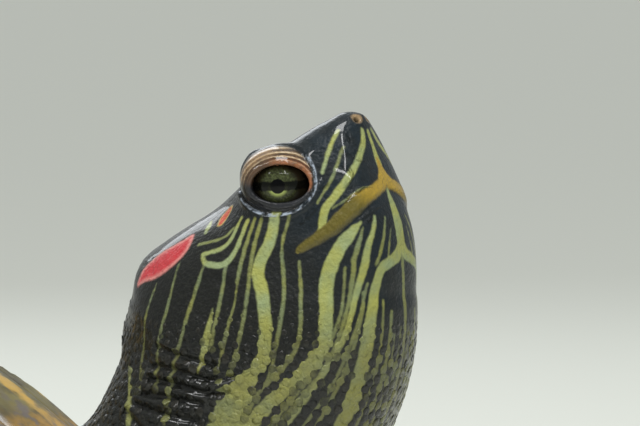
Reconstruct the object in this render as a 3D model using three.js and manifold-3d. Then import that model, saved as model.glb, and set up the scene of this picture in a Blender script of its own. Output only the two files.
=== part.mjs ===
// Red-eared slider turtle (Trachemys scripta elegans), a life-size still model of an adult female.
// Millimetres. +X is forward (where the snout points), +Y is the turtle's left, +Z is up, and the floor is Z = 0.
// The turtle stands on its four feet with the front of the shell a little higher than the back.
// The neck rises out of the shell in an S and the head points up at 45 degrees.
//
// Three local frames are used:
//   shell  (u forward, v left, w up from the plastron's underside), pitched up by SHELL_PITCH
//   head   (a forward, b left, c up from the mouth line at the snout tip), pitched up by HEAD_PITCH
//   world  (x, y, z), for the neck, the limbs and the tail
import * as THREE from "three";
import { mergeVertices } from "three/addons/utils/BufferGeometryUtils.js";
import Module from "manifold-3d";

const wasm = await Module();
wasm.setup();

// ---- driving dimensions -------------------------------------------------------------------------
const SHELL_LENGTH = 210; // straight carapace length
const SHELL_WIDTH = 158;
const SHELL_HEIGHT = 80; // plastron underside to carapace top
const SHELL_PITCH = 6; // degrees, front up
const SHELL_LIFT = 9.5; // plastron underside above the floor, at mid length
const SHELL_BACK = -5; // place of the shell's middle along X
const PLAN_POWER = 2.4; // superellipse power of the shell seen from above
const REAR_FLARE = 0.07; // how much wider the shell is behind its middle
const RIM_LOW = 26; // the carapace edge above the plastron underside, at the bridges
const RIM_FRONT_RISE = 14;
const RIM_REAR_RISE = 5;
const CARAPACE_WALL = 4.5; // measured upright, at the middle
const CARAPACE_WALL_RIM = 7.5; // measured upright, at the steep edge
const MARGINAL_SEAM = 0.82; // share of the way from the middle to the edge where the marginal scutes start
const SEAM_GAP = 0.5;
const PART_GAP = 0.35; // clearance between neighbouring solids
const FINENESS = 0.2; // the most that a finished face may move when small triangles are merged

const HEAD_PITCH = 45; // degrees, snout up
const HEAD_ORIGIN = [163.9, 0, 105.6]; // world place of the mouth line under the snout tip
const EYE = { a: -12.7, b: 7.0, c: 9.4, radius: 5.0, lid: 6.0 };
const EYE_OPENING = { half: 4.4, high: 2.85, up: 0.35, forward: 0.35 }; // half sizes and middle of the slit
const EYE_TURN = 15.5; // degrees that each eye looks forward of straight sideways
const EYE_LIFT = -17; // degrees that each eye looks up in the head
const EYE_SLANT = 43; // degrees that the slit runs down towards the snout
const NOSTRIL = { a: 0.9, b: 1.4, c: 9.6, radius: 0.5 };

// ---- small helpers ------------------------------------------------------------------------------
const rad = THREE.MathUtils.degToRad;
const vec = (x, y, z) => new THREE.Vector3(x, y, z);
const power = (value, exponent) => Math.sign(value) * Math.abs(value) ** exponent;
const clamp = THREE.MathUtils.clamp;

// A closed three.js geometry as a manifold-3d solid.
function solid(geometry) {
  const bare = geometry.clone();
  bare.deleteAttribute("normal");
  bare.deleteAttribute("uv");
  const merged = mergeVertices(bare, 1e-4);
  return new wasm.Manifold(
    new wasm.Mesh({
      numProp: 3,
      vertProperties: merged.attributes.position.array,
      triVerts: new Uint32Array(merged.index.array),
    }),
  );
}

// A solid through rings of points that all have the same count. Each end closes on the ring's middle.
function loft(rings) {
  const count = rings[0].length;
  const positions = rings.flat().flatMap((p) => [p.x, p.y, p.z]);
  const middle = (ring) => ring.reduce((sum, p) => sum.add(p), vec(0, 0, 0)).divideScalar(count);
  const first = middle(rings[0]);
  const last = middle(rings.at(-1));
  positions.push(first.x, first.y, first.z, last.x, last.y, last.z);
  const firstIndex = rings.length * count;
  const index = [];
  for (let i = 0; i < rings.length - 1; i++) {
    for (let j = 0; j < count; j++) {
      const here = i * count + j;
      const beside = i * count + ((j + 1) % count);
      index.push(here, beside, beside + count, here, beside + count, here + count);
    }
  }
  for (let j = 0; j < count; j++) {
    const next = (j + 1) % count;
    const lastRing = (rings.length - 1) * count;
    index.push(firstIndex, next, j);
    index.push(firstIndex + 1, lastRing + j, lastRing + next);
  }
  const geometry = new THREE.BufferGeometry();
  geometry.setAttribute("position", new THREE.Float32BufferAttribute(positions, 3));
  geometry.setIndex(index);
  const made = solid(geometry);
  if (made.volume() > 0) return made;
  for (let k = 0; k < index.length; k += 3) [index[k + 1], index[k + 2]] = [index[k + 2], index[k + 1]];
  geometry.setIndex(index);
  return solid(geometry);
}

// A Catmull-Rom curve through points, or through rows of sizes taken as points.
const curveThrough = (points) => new THREE.CatmullRomCurve3(points, false, "catmullrom", 0.5);

// A limb or neck: an oval swept through stations [x, y, z, half thickness, half width].
// "side" is the direction that the width is measured along.
function sweep(stations, sides, steps, side, grow = 0) {
  const path = curveThrough(stations.map((s) => vec(s[0], s[1], s[2])));
  const sizes = curveThrough(stations.map((s) => vec(s[3], s[4], 0)));
  const rings = [];
  for (let i = 0; i <= steps; i++) {
    const centre = path.getPoint(i / steps);
    const tangent = path.getTangent(i / steps);
    const size = sizes.getPoint(i / steps);
    const across = side.clone().addScaledVector(tangent, -side.dot(tangent)).normalize();
    const up = across.clone().cross(tangent).normalize();
    const ring = [];
    for (let j = 0; j < sides; j++) {
      const angle = (2 * Math.PI * j) / sides;
      ring.push(
        centre
          .clone()
          .addScaledVector(across, Math.cos(angle) * (size.y + grow))
          .addScaledVector(up, Math.sin(angle) * (size.x + grow)),
      );
    }
    rings.push(ring);
  }
  return loft(rings);
}

// A box that fills everything on the far side of a plane: point is on the plane and normal points into the box.
function halfSpace(point, normal, shift = 0) {
  const size = 600;
  const turn = new THREE.Quaternion().setFromUnitVectors(vec(0, 0, 1), normal.clone().normalize());
  const place = point.clone().addScaledVector(normal.clone().normalize(), size / 2 + shift);
  return solid(new THREE.BoxGeometry(size, size, size).applyQuaternion(turn).translate(...place));
}

function ball(centre, radii, turn = new THREE.Quaternion(), across = 14, down = 10) {
  const shape = new THREE.SphereGeometry(1, across, down).scale(...radii);
  return solid(shape.applyQuaternion(turn).translate(...centre));
}

const unite = (solids) => solids.reduce((all, one) => all.add(one));
const largest = (shape) => shape.decompose().reduce((best, one) => (one.volume() > best.volume() ? one : best));

// ---- frames -------------------------------------------------------------------------------------
const shellTurn = new THREE.Quaternion().setFromAxisAngle(vec(0, 1, 0), -rad(SHELL_PITCH));
const headTurn = new THREE.Quaternion().setFromAxisAngle(vec(0, 1, 0), -rad(HEAD_PITCH));
const fromShell = (u, v, w) => vec(u, v, w).applyQuaternion(shellTurn).add(vec(SHELL_BACK, 0, SHELL_LIFT));
const fromHead = (a, b, c) => vec(a, b, c).applyQuaternion(headTurn).add(vec(...HEAD_ORIGIN));
const headDirection = (a, b, c) => vec(a, b, c).applyQuaternion(headTurn);

// ---- shell --------------------------------------------------------------------------------------
// A place in plan: share goes from 0 in the middle to 1 at the edge, and angle runs round from the front.
function shellPlan(share, angle) {
  const u = (SHELL_LENGTH / 2) * share * power(Math.cos(angle), 2 / PLAN_POWER);
  const widen = 1 - (REAR_FLARE * u) / (SHELL_LENGTH / 2);
  return [u, (SHELL_WIDTH / 2) * widen * share * power(Math.sin(angle), 2 / PLAN_POWER)];
}

function rimHeight(angle) {
  const along = power(Math.cos(angle), 2 / PLAN_POWER);
  const rise = along > 0 ? RIM_FRONT_RISE * along ** 2.2 : RIM_REAR_RISE * along ** 2;
  return RIM_LOW + rise;
}

// Height of the carapace's outer surface above the plastron's underside.
function carapaceHeight(share, angle) {
  const fall = 0.62 * share ** 2 + 0.38 * share ** 4;
  const rim = rimHeight(angle);
  return rim + (SHELL_HEIGHT - rim) * (1 - fall);
}

const wallAt = (share) => CARAPACE_WALL + (CARAPACE_WALL_RIM - CARAPACE_WALL) * share ** 2;

const SHELL_SIDES = 32;
const SHELL_SHARES = [0.16, 0.4, 0.61, 0.79, 0.9, 1];
const UNDER_SHARES = SHELL_SHARES.slice(0, -1).map((share) => share * 1.04);

// Rings of the shell frame, from a list of [share, height at that share and angle].
function shellRings(profile) {
  return profile.map(([share, height]) =>
    Array.from({ length: SHELL_SIDES }, (_, j) => {
      const angle = (2 * Math.PI * (j + 0.5)) / SHELL_SIDES;
      const [u, v] = shellPlan(share, angle);
      return fromShell(u, v, height(share, angle));
    }),
  );
}

function carapaceSolid(grow = 0) {
  const edge = 1 + grow / (SHELL_LENGTH / 2);
  const outer = SHELL_SHARES.map((share) => [
    share === 1 ? edge : share,
    (s, angle) => carapaceHeight(Math.min(s, 1), angle) + grow,
  ]);
  const inner = [...UNDER_SHARES]
    .reverse()
    .map((share) => [share, (s, angle) => carapaceHeight(s, angle) - wallAt(s) - grow]);
  const lip = [edge, (s, angle) => rimHeight(angle) - 2 - grow];
  return loft(shellRings([...outer, lip, ...inner]));
}

// The flesh between the carapace and the plastron. Its side wall leans in towards the plastron.
const TRUNK_SHARE = UNDER_SHARES.at(-2);
const PLASTRON_THICK = 5;
const PLASTRON_CLEAR = 0.6; // room between its worn back end and the ground
function trunkSolid(grow = 0) {
  const under = (s, angle) => carapaceHeight(s, angle) - wallAt(s) - PART_GAP + grow;
  const top = UNDER_SHARES.slice(0, -1).map((share) => [share, under]);
  const rimShare = TRUNK_SHARE + grow / 80;
  const belly = PLASTRON_THICK + PART_GAP + 0.3 - grow;
  const side = [
    [rimShare, (s, angle) => rimHeight(angle) - 3],
    [0.78 + grow / 80, () => belly + 9],
    [0.62 + grow / 80, () => belly],
    [0.3, () => belly],
  ];
  return loft(shellRings([...top, ...side]));
}

// The plastron seen from below, as half widths at places along it. It is widest between the bridges.
function plastronShape(inset = 0) {
  const shape = new THREE.Shape();
  const half = [
    [94, 12],
    [93, 24],
    [80, 35],
    [56, 41],
    [30, 46],
    [-30, 46],
    [-52, 41],
    [-80, 36],
    [-95, 22],
    [-97, 13],
  ];
  const left = half.map(([u, v]) => new THREE.Vector2(u - Math.sign(u) * inset, v - inset));
  const notch = new THREE.Vector2(-87 + inset, 0);
  const right = [...left].reverse().map((p) => new THREE.Vector2(p.x, -p.y));
  shape.setFromPoints([...left, notch, ...right]);
  return shape;
}

function plastronSolid() {
  const bevel = 1.6;
  const plate = new THREE.ExtrudeGeometry(plastronShape(bevel), {
    depth: PLASTRON_THICK - 2 * bevel,
    bevelEnabled: true,
    bevelThickness: bevel,
    bevelSize: bevel,
    bevelSegments: 1,
  });
  plate.translate(0, 0, bevel);
  return solid(plate.applyQuaternion(shellTurn).translate(SHELL_BACK, 0, SHELL_LIFT));
}

// A bridge: the curved wall that joins the plastron's side to the carapace's edge.
const BRIDGE_FRONT = 36;
const BRIDGE_REAR = -38;
function bridgeSolid(side, shift = 0) {
  const outside = [
    [46.4, 0.3],
    [56, 3.5],
    [65, 10],
    [71.5, 19],
    [75, 34],
  ];
  const inside = [
    [70.5, 34],
    [67, 20],
    [61, 12],
    [53.5, 7.5],
    [46.4, 5],
  ];
  const corners = [...outside, ...inside].map(([v, w]) => new THREE.Vector2(side * (v - shift), w + shift));
  const wall = new THREE.ExtrudeGeometry(new THREE.Shape(corners), {
    depth: BRIDGE_FRONT - BRIDGE_REAR,
    bevelEnabled: false,
    steps: 3,
  });
  // The outline's x and y become the shell's v and w, and the extrusion runs along u.
  const turn = new THREE.Matrix4().makeBasis(vec(0, 1, 0), vec(0, 0, 1), vec(1, 0, 0));
  wall.applyMatrix4(turn).translate(BRIDGE_REAR, 0, 0);
  return solid(wall.applyQuaternion(shellTurn).translate(SHELL_BACK, 0, SHELL_LIFT));
}

// ---- scutes -------------------------------------------------------------------------------------
// Seams across the vertebral row, as [share of half length, half width there]. A corner between two of them
// is where a costal seam starts.
const VERTEBRAL_SEAMS = [
  [0.86, 21],
  [0.55, 17],
  [0.16, 17],
  [-0.24, 17],
  [-0.6, 14],
  [-0.88, 28],
];
const COSTAL_CORNERS = [
  [0.35, 25],
  [-0.04, 26],
  [-0.42, 23],
];
const COSTAL_ENDS = [0.4, -0.07, -0.52]; // where the three costal seams reach the marginals
const HALF = SHELL_LENGTH / 2;

// Places along one side of the vertebral row, front to back, with the costal corners in between.
function vertebralSide() {
  const side = [];
  VERTEBRAL_SEAMS.forEach((seam, i) => {
    side.push(seam);
    if (i >= 1 && i <= 3) side.push(COSTAL_CORNERS[i - 1]);
  });
  return side.map(([share, half]) => [share * HALF, half]);
}

// An upright prism in the shell frame over corners [u, v].
function shellPrism(corners) {
  const shape = new THREE.Shape(corners.map(([u, v]) => new THREE.Vector2(u, v)));
  const prism = new THREE.ExtrudeGeometry(shape, { depth: 160, bevelEnabled: false });
  prism.translate(0, 0, -30);
  return solid(prism.applyQuaternion(shellTurn).translate(SHELL_BACK, 0, SHELL_LIFT));
}

// A thin upright wall that cuts a seam from one place in plan to another.
function seamWall([u0, v0], [u1, v1]) {
  const length = Math.hypot(u1 - u0, v1 - v0);
  const angle = Math.atan2(v1 - v0, u1 - u0);
  const wall = new THREE.BoxGeometry(length + SEAM_GAP, SEAM_GAP, 160);
  wall.rotateZ(angle).translate((u0 + u1) / 2, (v0 + v1) / 2, 50);
  return solid(wall.applyQuaternion(shellTurn).translate(SHELL_BACK, 0, SHELL_LIFT));
}

function discOutline(share) {
  const count = SHELL_SIDES;
  return Array.from({ length: count }, (_, j) => shellPlan(share, (2 * Math.PI * (j + 0.5)) / count));
}

function carapacePieces() {
  const whole = carapaceSolid();
  const gapShare = SEAM_GAP / (SHELL_WIDTH / 2) / 2;
  const disc = whole.intersect(shellPrism(discOutline(MARGINAL_SEAM - gapShare)));
  const ring = whole.subtract(shellPrism(discOutline(MARGINAL_SEAM + gapShare)));
  const side = vertebralSide();
  const mirrored = side.map(([u, v]) => [u, -v]);
  const outAt = (share) => [share * HALF, SHELL_WIDTH / 2 + 10];
  const walls = [];
  for (const row of [side, mirrored]) {
    for (let i = 0; i < row.length - 1; i++) walls.push(seamWall(row[i], row[i + 1]));
  }
  VERTEBRAL_SEAMS.slice(1, 5).forEach(([share, half]) => {
    walls.push(seamWall([share * HALF, -half], [share * HALF, half]));
  });
  COSTAL_CORNERS.forEach(([share, half], i) => {
    const [endU, endV] = outAt(COSTAL_ENDS[i]);
    for (const flip of [1, -1]) walls.push(seamWall([share * HALF, flip * half], [endU, flip * endV]));
  });
  const cut = disc.subtract(unite(walls));

  const pieces = {};
  // Each vertebral lies between two seams, and the middle three have a corner on each side.
  const between = (front, rear) => side.filter(([u]) => u <= front * HALF + 0.01 && u >= rear * HALF - 0.01);
  for (let i = 0; i < 5; i++) {
    const left = between(VERTEBRAL_SEAMS[i][0], VERTEBRAL_SEAMS[i + 1][0]);
    const right = left.map(([u, v]) => [u, -v]).reverse();
    pieces["vertebral_" + (i + 1)] = cut.intersect(shellPrism([...left, ...right]));
  }
  // Costal seams run from the corners to the marginals. The first and last costals reach the ends of the row.
  const corners = COSTAL_CORNERS.map(([share, half]) => [share * HALF, half]);
  const starts = [[VERTEBRAL_SEAMS[0][0] * HALF, VERTEBRAL_SEAMS[0][1]], ...corners];
  starts.push([VERTEBRAL_SEAMS[5][0] * HALF, VERTEBRAL_SEAMS[5][1]]);
  const ends = [outAt(0.95), ...COSTAL_ENDS.map(outAt), outAt(-0.95)];
  for (const [name, flip] of [["left", 1], ["right", -1]]) {
    for (let i = 0; i < 4; i++) {
      const inner = side.filter(([u]) => u <= starts[i][0] + 0.01 && u >= starts[i + 1][0] - 0.01);
      const corners = [...inner, ends[i + 1], ends[i]].map(([u, v]) => [u, flip * v]);
      pieces["costal_" + name + "_" + (i + 1)] = cut.intersect(shellPrism(corners));
    }
  }
  // The marginal ring: a small nuchal scute in front, and a left and a right rim.
  const nuchalHalf = 5;
  const front = (v) => [[HALF * 0.6, v], [HALF * 1.1, v]];
  const ringCuts = [
    seamWall(...front(nuchalHalf)),
    seamWall(...front(-nuchalHalf)),
    seamWall([-HALF * 0.6, 0], [-HALF * 1.1, 0]),
  ];
  const ringPieces = ring.subtract(unite(ringCuts));
  const big = HALF * 1.3;
  pieces.nuchal = ringPieces.intersect(
    shellPrism([[0, -nuchalHalf], [big, -nuchalHalf], [big, nuchalHalf], [0, nuchalHalf]]),
  );
  for (const [name, flip] of [["left", 1], ["right", -1]]) {
    const region = [[big, nuchalHalf], [big, big], [-big, big], [-big, 0], [0, 0], [0, nuchalHalf]];
    pieces["marginals_" + name] = ringPieces.intersect(shellPrism(region.map(([u, v]) => [u, flip * v])));
  }
  return pieces;
}

// ---- head ---------------------------------------------------------------------------------------
// Sections of the head: [a, top, bottom, half width, height of the widest place, superellipse power].
const HEAD_SECTIONS = [
  [1.4, 10.4, 8.6, 1.1, 9.6, 2.0],
  [0.8, 11.3, 7.4, 2.6, 9.4, 2.1],
  [0, 12.0, 5.6, 3.9, 8.6, 2.2],
  [-1.4, 12.5, 2.4, 5.6, 7.0, 2.3],
  [-2.7, 12.9, -0.9, 6.7, 5.6, 2.4],
  [-3.6, 13.2, -3.0, 7.4, 4.8, 2.5],
  [-5.2, 13.6, -6.0, 8.4, 4.0, 2.6],
  [-8, 14.3, -9.8, 9.8, 3.4, 2.6],
  [-12, 15.3, -14.2, 11.2, 2.6, 2.5],
  [-17, 15.0, -18.0, 13.2, 2.0, 2.2],
  [-22, 14.3, -20.5, 15.0, 1.5, 2.1],
  [-28, 16.9, -22.0, 16.4, 1.0, 2.1],
  [-35, 18.3, -22.0, 16.9, 0.5, 2.1],
  [-41, 18.8, -20.0, 16.0, 0, 2.1],
  [-46, 14.0, -14.0, 11.0, 0, 2.0],
];
const HEAD_SIDES = 20;

function headLoft(grow = 0) {
  const rings = HEAD_SECTIONS.map(([a, top, bottom, half, widest, n], i) =>
    Array.from({ length: HEAD_SIDES }, (_, j) => {
      const angle = (2 * Math.PI * (j + 0.5)) / HEAD_SIDES;
      const rise = Math.sin(angle) > 0 ? top - widest : widest - bottom;
      const b = power(Math.cos(angle), 2 / n) * (half + grow);
      return fromHead(i === 0 ? a + grow : a, b, widest + power(Math.sin(angle), 2 / n) * (rise + grow));
    }),
  );
  return loft(rings);
}

// The turn that carries a ball's own axes to an eye: x along the slit, y along the line of sight and z across
// the slit.
function eyeTurn(side) {
  const look = headDirection(
    Math.sin(rad(EYE_TURN)) * Math.cos(rad(EYE_LIFT)),
    side * Math.cos(rad(EYE_TURN)) * Math.cos(rad(EYE_LIFT)),
    Math.sin(rad(EYE_LIFT)),
  ).normalize();
  const slit = headDirection(Math.cos(rad(EYE_SLANT)), 0, -Math.sin(rad(EYE_SLANT)));
  slit.addScaledVector(look, -slit.dot(look)).normalize();
  const across = slit.clone().cross(look);
  return new THREE.Quaternion().setFromRotationMatrix(new THREE.Matrix4().makeBasis(slit, look, across));
}

function eyeParts(side) {
  const centre = fromHead(EYE.a, side * EYE.b, EYE.c);
  const turn = eyeTurn(side);
  const globe = (radius, across = 10, down = 7) => ball(centre, [radius, radius, radius], turn, across, down);
  const opening = new THREE.CylinderGeometry(1, 1, EYE.lid * 2, 10);
  opening.scale(EYE_OPENING.half, 1, EYE_OPENING.high).translate(EYE_OPENING.forward, EYE.lid, EYE_OPENING.up);
  return {
    ball: globe(EYE.radius),
    lid: globe(EYE.lid, 12, 7),
    socket: globe(EYE.radius + PART_GAP, 10, 6),
    opening: solid(opening.applyQuaternion(turn).translate(...centre)),
  };
}

// The mouth line in the head frame, from the notch under the snout back to the corner of the mouth. The lower
// jaw lies under it.
const MOUTH_LINE = [
  [-3.0, -0.9],
  [-4.1, -2.4],
  [-6.2, -3.1],
  [-9.6, -3.4],
  [-12.6, -2.85],
  [-15.2, -2.1],
];
function jawRegion(gap) {
  const [cornerA, cornerC] = MOUTH_LINE.at(-1);
  const line = [
    [6, MOUTH_LINE[0][1] - gap],
    ...MOUTH_LINE.map(([a, c]) => [a, c - gap]),
    [cornerA - 1 + gap, cornerC - 4],
    [cornerA - 3 + gap, -40],
    [6, -40],
  ];
  const shape = new THREE.Shape(line.map(([a, c]) => new THREE.Vector2(a, c)));
  const block = new THREE.ExtrudeGeometry(shape, { depth: 60, bevelEnabled: false });
  // The outline's x and y become the head's a and c, and the extrusion runs across it.
  block.translate(0, 0, -30).applyMatrix4(new THREE.Matrix4().makeBasis(vec(1, 0, 0), vec(0, 0, 1), vec(0, -1, 0)));
  return solid(block.applyQuaternion(headTurn).translate(...HEAD_ORIGIN));
}

function nostril(side) {
  const hole = new THREE.CylinderGeometry(NOSTRIL.radius, NOSTRIL.radius, 2.4, 8).rotateZ(Math.PI / 2);
  return solid(hole.applyQuaternion(headTurn).translate(...fromHead(NOSTRIL.a, side * NOSTRIL.b, NOSTRIL.c)));
}

// ---- neck, limbs and tail -----------------------------------------------------------------------
// Stations: [x, y, z, half thickness, half width].
const NECK_SIDES = 18;
const NECK_STEPS = 11;
const NECK = [
  [60, 0, 35, 12, 24],
  [85, 0, 39.5, 14, 23.5],
  [106, 0, 44.5, 16, 22.5],
  [125, 0, 53, 18, 21.3],
  [136.8, 0, 66, 20.8, 19.6],
  [141.9, 0, 79, 22.6, 17.4],
  [143.2, 0, 89, 19, 13.5],
  [144.2, 0, 96, 9, 7],
];
const FORELEG = [
  [62, 36, 36, 12, 14],
  [80, 48, 38, 13, 15],
  [93, 62, 36, 12.5, 14],
  [99, 75, 28, 11, 12.5],
  [104, 82, 17, 8.5, 11],
  [110, 86, 9, 6, 9.5],
  [117, 88.5, 5.4, 4.5, 9],
];
const HINDLEG = [
  [-56, 34, 30, 14, 17],
  [-70, 50, 33, 15, 17],
  [-75, 66, 32, 14, 15],
  [-84, 77, 23, 11.5, 12.5],
  [-91, 84, 13, 8.5, 10.5],
  [-88, 88, 7, 5.5, 10],
];
const TAIL = [
  [-78, 0, 27, 12, 14],
  [-96, 0, 24, 9.5, 10.5],
  [-110, 2, 17, 6, 6.5],
  [-121, 5, 10.5, 3.6, 3.8],
  [-129, 9, 6.5, 1.2, 1.2],
];
// Feet: heading is degrees outward from straight ahead, and the sole is the palm's oval, cut flat at the floor.
const FOREFOOT = {
  centre: [119.5, 89.5, 3.9],
  radii: [10.5, 9.6, 4.7],
  heading: 22,
  spread: [-52, -26, 0, 26, 52],
  reach: 8.5,
  toe: 5,
  toeRadius: 2.5,
  clawed: 5,
  claw: 8,
};
const HINDFOOT = {
  centre: [-78, 92.5, 3.9],
  radii: [15.5, 11.5, 4.7],
  heading: 24,
  spread: [-34, -15, 4, 23, 44],
  reach: 13,
  toe: 6,
  toeRadius: 2.4,
  clawed: 4,
  claw: 6.5,
};
// How far forward of the drawn place each foot stands, so that the stance isn't a mirror image.
const STRIDE = { foreleg_left: -7, foreleg_right: 6, hindleg_left: 5, hindleg_right: -6 };

// The same stations for one side, with the foot end moved along by the stride.
function limbStations(stations, side, stride) {
  return stations.map(([x, y, z, thick, wide], i) => {
    const share = (i / (stations.length - 1)) ** 1.5;
    return [x + stride * share, side * y, z, thick, wide];
  });
}

// Claw: a cone bent down from the end of a toe, in the plane of the toe's direction.
function clawSolid(root, direction, length) {
  const bend = [0, 0.5, 1];
  const stations = bend.map((share) => {
    const drop = 1.7 * share ** 2;
    const place = root.clone().addScaledVector(direction, share * length).add(vec(0, 0, -drop));
    const radius = 1.35 * (1 - 0.86 * share);
    return [place.x, place.y, place.z, radius * 1.15, radius];
  });
  return sweep(stations, 5, 2, vec(-direction.y, direction.x, 0));
}

function foot(spec, side, stride) {
  const floor = halfSpace(vec(0, 0, 0), vec(0, 0, 1));
  const heading = side * rad(spec.heading);
  const turn = new THREE.Quaternion().setFromAxisAngle(vec(0, 0, 1), heading);
  const centre = vec(spec.centre[0] + stride, side * spec.centre[1], spec.centre[2]);
  const pieces = [ball(centre, spec.radii, turn, 11, 6)];
  const claws = [];
  spec.spread.forEach((angle, i) => {
    const way = heading + side * rad(angle);
    const direction = vec(Math.cos(way), Math.sin(way), 0);
    const start = centre.clone().addScaledVector(direction, spec.reach * 0.45);
    const end = centre.clone().addScaledVector(direction, spec.reach + spec.toe).setZ(2.6);
    const r = spec.toeRadius;
    const toe = [
      [start.x, start.y, 3.6, r, r],
      [end.x, end.y, end.z, r * 0.75, r * 0.75],
    ];
    pieces.push(sweep(toe, 5, 1, vec(-direction.y, direction.x, 0)));
    if (i < spec.clawed) claws.push({ root: end.clone().addScaledVector(direction, PART_GAP), direction });
  });
  return { body: unite(pieces).intersect(floor), claws };
}

// ---- assembly -----------------------------------------------------------------------------------
const SKIN = { color: 0x3c4433, roughness: 0.45 };
const COLOURS = {
  head: { color: 0x46513c, roughness: 0.3 },
  lower_jaw: { color: 0x8a8444, roughness: 0.3 },
  eye: { color: 0x8b9a52, roughness: 0.1 },
  neck: SKIN,
  trunk: { color: 0x4a4636, roughness: 0.6 },
  tail: SKIN,
  leg: SKIN,
  foot: SKIN,
  claw: { color: 0x3a3327, roughness: 0.35 },
  carapace: { color: 0x5a5a34, roughness: 0.4 },
  rim: { color: 0x8d8038, roughness: 0.4 },
  plastron: { color: 0xc9ab4a, roughness: 0.45 },
};
const turtle = new THREE.Group();
turtle.name = "red_eared_slider";

function add(name, shape, colour) {
  const made = largest(shape.simplify(colour === "claw" ? 0 : FINENESS)).getMesh();
  const geometry = new THREE.BufferGeometry();
  geometry.setAttribute("position", new THREE.Float32BufferAttribute(made.vertProperties, 3));
  geometry.setIndex([...made.triVerts]);
  geometry.computeVertexNormals();
  const mesh = new THREE.Mesh(geometry, new THREE.MeshStandardMaterial({ ...COLOURS[colour], metalness: 0 }));
  mesh.name = name;
  turtle.add(mesh);
}

// Shell.
for (const [name, piece] of Object.entries(carapacePieces())) {
  add(name, piece, name.startsWith("marginals") || name === "nuchal" ? "rim" : "carapace");
}
const carapaceRoom = carapaceSolid(PART_GAP);
const plastron = plastronSolid().intersect(halfSpace(vec(0, 0, PLASTRON_CLEAR), vec(0, 0, 1)));
add("plastron", plastron, "plastron");
let trunk = trunkSolid();
for (const [name, side] of [["left", 1], ["right", -1]]) {
  add("bridge_" + name, bridgeSolid(side).subtract(carapaceRoom), "plastron");
  trunk = trunk.subtract(bridgeSolid(side, PART_GAP)).subtract(bridgeSolid(side));
}
const plastronRoom = plastron.translate(0, 0, PART_GAP).add(plastron);

// Neck and head: one form, parted by a slanted plane behind the jaw and by the mouth line.
const crossY = vec(0, 1, 0);
const neck = sweep(NECK, NECK_SIDES, NECK_STEPS, crossY);
const neckRoom = sweep(NECK, NECK_SIDES, NECK_STEPS, crossY, PART_GAP);
const headBack = { nape: fromHead(-41, 0, 20), throat: fromHead(-15, 0, -18) };
const backLine = headBack.throat.clone().sub(headBack.nape);
const neckWay = vec(backLine.z, 0, -backLine.x).normalize(); // from the head into the neck
if (neckWay.z > 0) neckWay.negate();
const forward = halfSpace(headBack.nape, neckWay.clone().negate(), PART_GAP / 2);
const behind = halfSpace(headBack.nape, neckWay, PART_GAP / 2);
const headAndNeck = headLoft().add(neck);
const eyes = { left: eyeParts(1), right: eyeParts(-1) };
let head = headAndNeck.intersect(forward);
for (const name of ["left", "right"]) {
  const eye = eyes[name];
  head = head.add(eye.lid.subtract(eye.opening)).subtract(eye.socket).subtract(eye.opening);
  add("eye_" + name, eye.ball, "eye");
}
for (const side of [1, -1]) head = head.subtract(nostril(side));
add("lower_jaw", head.intersect(jawRegion(PART_GAP)), "lower_jaw");
add("head", head.subtract(jawRegion(0)), "head");

const trunkWay = vec(1, 0, 0.15).normalize();
const neckRoot = fromShell(78, 0, 22);
const neckPart = headAndNeck
  .intersect(behind)
  .intersect(halfSpace(neckRoot, trunkWay, PART_GAP / 2))
  .subtract(carapaceRoom)
  .subtract(plastronRoom);
add("neck", neckPart, "neck");

// Limbs and tail start inside the trunk and are cut back to its surface.
const trunkRoom = trunkSolid(PART_GAP);
const limbs = {
  foreleg_left: [FORELEG, FOREFOOT, 1],
  foreleg_right: [FORELEG, FOREFOOT, -1],
  hindleg_left: [HINDLEG, HINDFOOT, 1],
  hindleg_right: [HINDLEG, HINDFOOT, -1],
};
const shellRoom = unite([carapaceRoom, plastronRoom, trunkRoom]);
for (const [name, [stations, spec, side]] of Object.entries(limbs)) {
  const stride = STRIDE[name];
  const places = limbStations(stations, side, stride);
  const limb = sweep(places, 10, 8, vec(side * 0.5, 1, 0).normalize());
  const end = places.at(-1);
  const before = places.at(-2);
  const cutAt = vec(...before.slice(0, 3)).lerp(vec(...end.slice(0, 3)), 0.45);
  const way = vec(end[0] - before[0], end[1] - before[1], end[2] - before[2]);
  const feet = foot(spec, side, stride);
  const fleshy = limb.add(feet.body).intersect(halfSpace(vec(0, 0, 0), vec(0, 0, 1)));
  const bare = fleshy.subtract(shellRoom).subtract(neckRoom);
  const footName = name.replace("leg", "foot");
  add(footName, bare.intersect(halfSpace(cutAt, way, PART_GAP / 2)), "foot");
  add(name, bare.intersect(halfSpace(cutAt, way.clone().negate(), PART_GAP / 2)), "leg");
  feet.claws.forEach(({ root, direction }, i) => {
    add(footName + "_claw_" + (i + 1), clawSolid(root, direction, spec.claw), "claw");
  });
}
const tail = sweep(TAIL, 10, 7, crossY);
add("tail", tail.subtract(shellRoom), "tail");
const behindNeck = halfSpace(neckRoot, trunkWay.clone().negate(), PART_GAP / 2);
add("trunk", trunk.subtract(plastronRoom).intersect(behindNeck), "trunk");

// The origin is under the middle of the whole animal, on the floor.
const box = new THREE.Box3().setFromObject(turtle);
turtle.position.set(-(box.min.x + box.max.x) / 2, -(box.min.y + box.max.y) / 2, 0);

export default turtle;
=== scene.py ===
"""Red-eared slider turtle, life size: one skin over the flesh, with scales, eyes, claws and shell on it.

Shapes are worked out in millimetres in the drawing frame of the CAD source (floor at Z = 0, +X forward, +Y
left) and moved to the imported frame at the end. Two local frames are used: head (a forward, b left, c up from
the mouth line) and shell (u forward, v left, w up from the plastron's underside).
"""

import itertools
import math

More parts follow.
